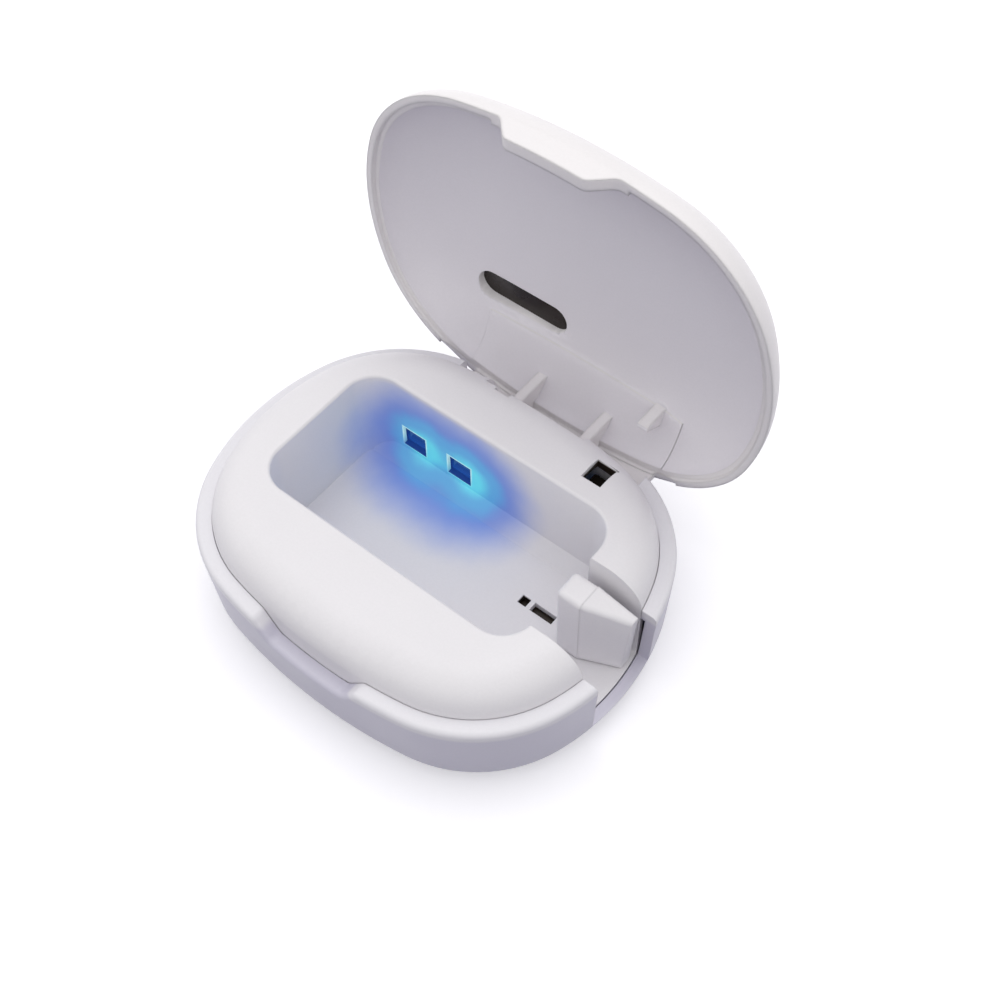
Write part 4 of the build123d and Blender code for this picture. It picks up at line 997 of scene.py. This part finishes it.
class CASE_OT_boards(bpy.types.Operator):
    """Finish the two boards and set their small parts on them"""

    bl_idname = "case.boards"
    bl_label = "Boards"

    def execute(self, context):
        look = context.scene.case_plastic
        dress("led_board", circuit_board("board_white", (0.70, 0.72, 0.70)))
        dress("main_board", circuit_board("board_green", (0.02, 0.16, 0.06)))
        solder = turned_steel("soldered_caps", (0.78, 0.76, 0.72), "X", gloss=0.35)
        chips = dark_plastic("chip_black", (0.02, 0.02, 0.022), look, gloss=0.45)
        low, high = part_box("main_board")
        middle = (low + high) / 2
        edge = 0.06 * MM
        # size, columns, rows, the spacing of both, and the place from the board's middle, in mm
        parts = (
            ("board_caps", (0.5, 1.0, 0.5), 3, 3, 1.5, 2.4, (0.0, -5.2), solder),
            ("board_chips", (2.4, 2.4, 0.8), 1, 1, 1.0, 1.0, (0.6, 6.1), chips),
        )
        for name, size, columns, rows, column_step, row_step, offset, finish in parts:
            part = block_part(name, [MM * s for s in size], edge)
            values = {
                "Columns": columns, "Rows": rows, "Column Spacing": column_step * MM,
                "Row Spacing": row_step * MM, "Finish": finish,
            }
            place = Matrix.Translation((middle.x + offset[0] * MM, middle.y + offset[1] * MM, high.z))
            show(name, repeated(part, values, place), "base", "board_green")
        return {"FINISHED"}


class CASE_OT_charging_socket(bpy.types.Operator):
    """Finish the charging socket and lay the contacts on its tongue"""

    bl_idname = "case.charging_socket"
    bl_label = "Charging socket"

    def execute(self, context):
        fittings = context.scene.case_fittings
        dress("charging_socket", turned_steel("socket_steel", (0.60, 0.60, 0.62), "X", gloss=0.30))
        gold = turned_steel("contact_gold", (0.83, 0.60, 0.25), "X", gloss=0.25)
        centre = box_centre("charging_socket")
        tongue_half = 0.35 * MM
        setback = 0.9 * MM
        length, width, thickness, edge = 3.0 * MM, 0.26 * MM, 0.05 * MM, 0.01 * MM
        part = block_part("contact", (length, width, thickness), edge, segments=1)
        values = {
            "Columns": 1, "Rows": fittings.contact_count, "Row Spacing": fittings.contact_pitch,
            "Finish": gold,
        }
        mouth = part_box("charging_socket")[0].x
        middle = Vector((mouth + setback + length / 2, centre.y, centre.z))
        for name, side in (("contacts_upper", 1), ("contacts_lower", -1)):
            flip = Matrix.Rotation(0 if side > 0 else pi, 4, "X")
            place = Matrix.Translation(middle + Vector((0, 0, side * tongue_half))) @ flip
            show(name, repeated(part.copy(), values, place), "base", "socket_steel")
        return {"FINISHED"}


class CASE_OT_gate_springs(bpy.types.Operator):
    """Wind the gate's two springs, and finish its pins"""

    bl_idname = "case.gate_springs"
    bl_label = "Gate springs"

    def execute(self, context):
        fittings = context.scene.case_fittings
        wire = turned_steel("spring_wire", (0.55, 0.55, 0.57), "Y")
        steel = turned_steel("pin_steel", (0.62, 0.62, 0.63), "Y", gloss=0.22)
        for side in ("lower", "upper"):
            dress(f"gate_pin_{side}", steel)
            low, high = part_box(f"gate_spring_{side}")
            values = {
                "Turns": fittings.coil_turns, "Length": high.y - low.y, "Coil Radius": fittings.coil_radius,
                "Wire Radius": fittings.wire_radius, "Finish": wire,
            }
            centre = (low + high) / 2
            place = Matrix.Translation((centre.x, low.y, centre.z)) @ Matrix.Rotation(-pi / 2, 4, "X")
            mesh = grown(bpy.data.node_groups["wound_coil"], bpy.data.meshes.new("coil"), values, place)
            piece = bpy.data.objects.new(f"gate_coil_{side}", mesh)
            bpy.context.scene.collection.objects.link(piece)
            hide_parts(f"gate_spring_{side}")
            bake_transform(piece)
        return {"FINISHED"}


class CASE_OT_hinge_and_switch(bpy.types.Operator):
    """Finish the hinge pin, the switch and its plunger"""

    bl_idname = "case.hinge_and_switch"
    bl_label = "Hinge and switch"

    def execute(self, context):
        look = context.scene.case_plastic
        black = dark_plastic("switch_black", (0.022, 0.016, 0.012), look, gloss=0.5, shine=0.08)
        brown = dark_plastic("plunger_dark", (0.042, 0.026, 0.018), look, gloss=0.4, shine=0.08)
        dress("hinge_pin", turned_steel("hinge_steel", (0.62, 0.62, 0.63), "X", gloss=0.22))
        dress("switch_body", black)
        dress("switch_plunger", brown)
        return {"FINISHED"}


class CASE_OT_fastenings(bpy.types.Operator):
    """Finish the screws and set a plug with a dimple over each case screw"""

    bl_idname = "case.fastenings"
    bl_label = "Screws and plugs"

    def execute(self, context):
        steel = turned_steel("screw_steel", (0.50, 0.50, 0.50), "Z")
        for node in ("case_screws", "board_screws", "lamp_board_screw"):
            dress(node, steel)
        silicone = soft_sheet("plug_silicone", (0.74, 0.72, 0.77), 2600.0, 0.01 * MM, 0.5)
        low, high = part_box("screw_plugs")
        radius = 1.75 * MM
        height = high.z - low.z
        dimple_radius, dimple_top_radius, dimple_depth = 0.45 * MM, 0.60 * MM, 0.30 * MM
        dome, chamfer = 0.06 * MM, 0.1 * MM
        foot_inset, round_inset, round_height = 0.35 * MM, 0.12 * MM, 0.24 * MM
        outline = [
            (0, dimple_depth), (dimple_radius, dimple_depth), (dimple_top_radius, dome),
            (radius - foot_inset, 0), (radius - round_inset, dome), (radius, round_height),
            (radius, height - chamfer), (radius - chamfer, height), (0, height),
        ]
        values = {
            "Columns": 2, "Rows": 2, "Column Spacing": high.x - low.x - 2 * radius,
            "Row Spacing": high.y - low.y - 2 * radius, "Finish": silicone,
        }
        place = Matrix.Translation(((low.x + high.x) / 2, (low.y + high.y) / 2, low.z))
        mesh = repeated(turned_part("plug", outline, 40), values, place)
        show("plug_caps", mesh, "base", "plug_silicone", "screw_plugs")
        return {"FINISHED"}


class CASE_OT_cell(bpy.types.Operator):
    """Finish the cell and its pad"""

    bl_idname = "case.cell"
    bl_label = "Cell"

    def execute(self, context):
        crease_depth, pore_depth = 0.12 * MM, 0.05 * MM
        dress("battery_cell", soft_sheet("cell_foil", (0.45, 0.47, 0.50), 300.0, crease_depth, 0.35))
        dress("cell_pad", soft_sheet("pad_foam", (0.06, 0.06, 0.065), 2400.0, pore_depth, 0.9))
        return {"FINISHED"}


class CASE_OT_stage(bpy.types.Operator):
    """Set the floor, the light and the camera"""

    bl_idname = "case.stage"
    bl_label = "Stage"

    def execute(self, context):
        studio = context.scene.case_studio
        set_floor(studio)
        set_sky(studio)
        set_lamps(studio)
        set_camera(studio)
        context.scene.view_settings.view_transform = "Standard"
        return {"FINISHED"}


def seen_share(tree):
    """1 on what the camera sees, also in a reflection or through glass, and 0 on what only lights."""
    path = put(tree, "ShaderNodeLightPath").outputs
    seen = calc(tree, "MAXIMUM", path["Is Camera Ray"], path["Is Glossy Ray"])
    return calc(tree, "MAXIMUM", seen, path["Is Transmission Ray"])


def set_floor(studio):
    """Pale floor that runs out into the white background and keeps the case's shadow."""
    half_width = 3.0
    work = bmesh.new()
    bmesh.ops.create_grid(work, x_segments=1, y_segments=1, size=half_width)
    mesh = bpy.data.meshes.new("floor")
    work.to_mesh(mesh)
    work.free()
    floor = bpy.data.objects.new("floor", mesh)
    bpy.context.scene.collection.objects.link(floor)
    material, tree, shader, vector = new_material("pale_floor")
    tone = noise(tree, vector, 12.0, detail=3.0)
    dull = [c * 0.985 for c in studio.floor_colour]
    colour = shift_colour(tree, tone, 0.3, 0.7, studio.floor_colour, dull)
    seen = seen_share(tree)
    tree.links.new(blend_colours(tree, seen, studio.floor_shade, colour), shader.inputs["Base Color"])
    shader.inputs["Roughness"].default_value = 0.9
    shader.inputs["Specular IOR Level"].default_value = 0.1
    tree.links.new(blend_colours(tree, seen, (0, 0, 0), (1, 1, 1)), shader.inputs["Emission Color"])
    shader.inputs["Emission Strength"].default_value = studio.floor_light
    mesh.materials.append(material)


def set_sky(studio):
    """Even light, white where the camera looks at it."""
    world = bpy.data.worlds.new("studio")
    bpy.context.scene.world = world
    world.use_nodes = True
    tree = world.node_tree
    tree.nodes.clear()
    seen = seen_share(tree)
    strength = calc(tree, "MULTIPLY_ADD", seen, 1.0 - studio.sky_strength, studio.sky_strength)
    sky = put(tree, "ShaderNodeBackground", {"Color": (1, 1, 1, 1), "Strength": strength})
    put(tree, "ShaderNodeOutputWorld", {"Surface": sky.outputs["Background"]})


def set_lamps(studio):
    """A broad lamp overhead and a little behind, and a weaker one from the left."""
    # name, place, size and power
    lamps = (
        ("key_lamp", (-0.10, 0.16, 0.62), 0.55, studio.key_power),
        ("rim_lamp", (-0.55, 0.05, 0.30), 0.45, studio.rim_power),
    )
    aim = Vector((0, 0, rim_height))
    for name, place, size, power in lamps:
        light = bpy.data.lights.new(name, "AREA")
        light.shape = "DISK"
        light.size = size
        light.energy = power
        lamp = bpy.data.objects.new(name, light)
        lamp.location = place
        lamp.rotation_euler = (aim - lamp.location).to_track_quat("-Z", "Y").to_euler()
        bpy.context.scene.collection.objects.link(lamp)


def set_camera(studio):
    """Camera at the photograph's angle."""
    azimuth, elevation = studio.view_azimuth, studio.view_elevation
    back = Vector((sin(azimuth) * cos(elevation), -cos(azimuth) * cos(elevation), sin(elevation)))
    level = Vector((cos(azimuth), sin(azimuth), 0))
    upright = back.cross(level)
    right = level * cos(studio.view_roll) + upright * sin(studio.view_roll)
    up = upright * cos(studio.view_roll) - level * sin(studio.view_roll)
    place = back * studio.view_distance + right * studio.view_pan[0] + up * studio.view_pan[1]
    place.z += rim_height
    data = bpy.data.cameras.new("camera")
    data.sensor_width = 36.0
    data.lens = studio.lens
    data.clip_start = 0.01
    data.clip_end = 20.0
    camera = bpy.data.objects.new("camera", data)
    camera.matrix_world = Matrix.Translation(place) @ Matrix((right, up, back)).transposed().to_4x4()
    bpy.context.scene.collection.objects.link(camera)
    bpy.context.scene.camera = camera


class CASE_PT_panel(bpy.types.Panel):
    """Finishes and sizes of the case"""

    bl_idname = "CASE_PT_panel"
    bl_label = "Case"
    bl_space_type = "VIEW_3D"
    bl_region_type = "UI"
    bl_category = "Case"

    def draw(self, context):
        for label in LOOKS:
            look = getattr(context.scene, label)
            box = self.layout.box()
            for name in look.__annotations__:
                box.prop(look, name)
        for operator in STEPS:
            self.layout.operator(operator.bl_idname)


STEPS = (
    CASE_OT_shared_effects,
    CASE_OT_shells,
    CASE_OT_lid_window,
    CASE_OT_lamps,
    CASE_OT_boards,
    CASE_OT_charging_socket,
    CASE_OT_gate_springs,
    CASE_OT_hinge_and_switch,
    CASE_OT_fastenings,
    CASE_OT_cell,
    CASE_OT_stage,
)


def register():
    """Register the classes, and put the looks on the scene."""
    for kind in (*LOOKS.values(), *STEPS, CASE_PT_panel):
        bpy.utils.register_class(kind)
    for label, look in LOOKS.items():
        setattr(bpy.types.Scene, label, PointerProperty(type=look))


def unregister():
    """Take the looks and the classes away again."""
    for label in LOOKS:
        delattr(bpy.types.Scene, label)
    for kind in reversed((*LOOKS.values(), *STEPS, CASE_PT_panel)):
        bpy.utils.unregister_class(kind)


def main():
    """Make every piece in order."""
    register()
    for operator in STEPS:
        group, name = operator.bl_idname.split(".")
        getattr(getattr(bpy.ops, group), name)()


if __name__ == "__main__":
    main()
